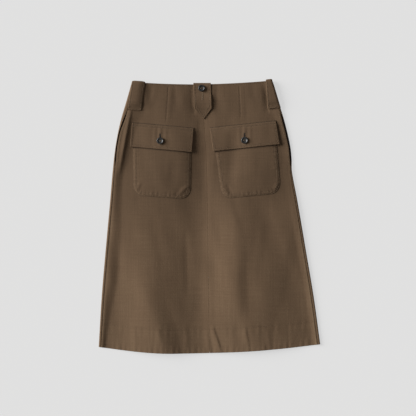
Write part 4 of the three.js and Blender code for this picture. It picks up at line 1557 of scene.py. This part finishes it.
def floor_board():
    """A board of matte paper with a faint grain, made of many cells instead of one bare quad."""
    grid = np.linspace(-FLOOR_SIZE / 2, FLOOR_SIZE / 2, FLOOR_CELLS + 1)
    x, y = np.meshgrid(grid, grid)
    points = np.stack([x.ravel(), y.ravel(), np.full(x.size, -FLOOR_BELOW)], -1)
    index = np.arange(x.size).reshape(x.shape)
    corners = [index[:-1, :-1], index[:-1, 1:], index[1:, 1:], index[1:, :-1]]
    faces = np.stack(corners, -1).reshape(-1, 4)
    material, tree, shader = new_material("matte_pale_paper_board")
    where = add_node(tree, "ShaderNodeTexCoord").outputs["Object"]
    fibre = add_node(tree, "ShaderNodeTexNoise", {"Vector": where, "Scale": 260.0, "Detail": 2.0})
    bump = add_node(
        tree, "ShaderNodeBump",
        {"Strength": 0.05, "Distance": 0.0002, "Height": fibre.outputs["Fac"]},
    )
    tree.links.new(bump.outputs["Normal"], shader.inputs["Normal"])
    shader.inputs["Base Color"].default_value = colour("#6e6e6e")
    shader.inputs["Roughness"].default_value = 0.95
    shader.inputs["Specular IOR Level"].default_value = 0.1
    shader.inputs["Emission Color"].default_value = (1, 1, 1, 1)
    shader.inputs["Emission Strength"].default_value = 0.59
    return mesh_piece("floor", points, faces.tolist(), material)


floor_board()
print("floor:", FLOOR_SIZE / 1000, "m square")

# %% Light
SURROUND = 0.22
world = bpy.data.worlds.new("even_surround")
world.use_nodes = True
background = world.node_tree.nodes["Background"]
background.inputs["Color"].default_value = (1.0, 1.0, 1.0, 1.0)
background.inputs["Strength"].default_value = SURROUND
bpy.context.scene.world = world


def soft_sun(name, azimuth, elevation, strength, spread, tint):
    """A light from far away: azimuth 0 comes from +X, and 90 from the waist end."""
    light = bpy.data.lights.new(name, "SUN")
    light.energy = strength
    light.angle = math.radians(spread)
    light.color = tint
    obj = bpy.data.objects.new(name, light)
    obj.rotation_euler = (0, math.radians(90 - elevation), math.radians(azimuth))
    bpy.context.collection.objects.link(obj)
    return obj


KEY_LIGHT = soft_sun(
    "soft_key", azimuth=163, elevation=22, strength=6.5, spread=36, tint=(1.0, 0.99, 0.975)
)
print("light: key", KEY_LIGHT.data.energy, "and surround", SURROUND)

# %% Camera
LENS = 100
SENSOR = 36
VIEW_WIDTH = 1081.6  # how much of the floor shows, side to side
VIEW_CENTRE = (-3.9, 21.7)
VIEW_LEVEL = 6  # the height at which that width is measured
camera_data = bpy.data.cameras.new("camera")
camera_data.lens = LENS
camera_data.sensor_width = SENSOR
camera_data.clip_end = 50
camera = bpy.data.objects.new("camera", camera_data)
camera_height = VIEW_WIDTH * LENS / SENSOR + VIEW_LEVEL
camera.location = (VIEW_CENTRE[0] * MM, VIEW_CENTRE[1] * MM, camera_height * MM)
bpy.context.collection.objects.link(camera)
bpy.context.scene.camera = camera
bpy.context.scene.view_settings.view_transform = "Standard"
print("camera height:", round(camera.location.z, 2), "m")
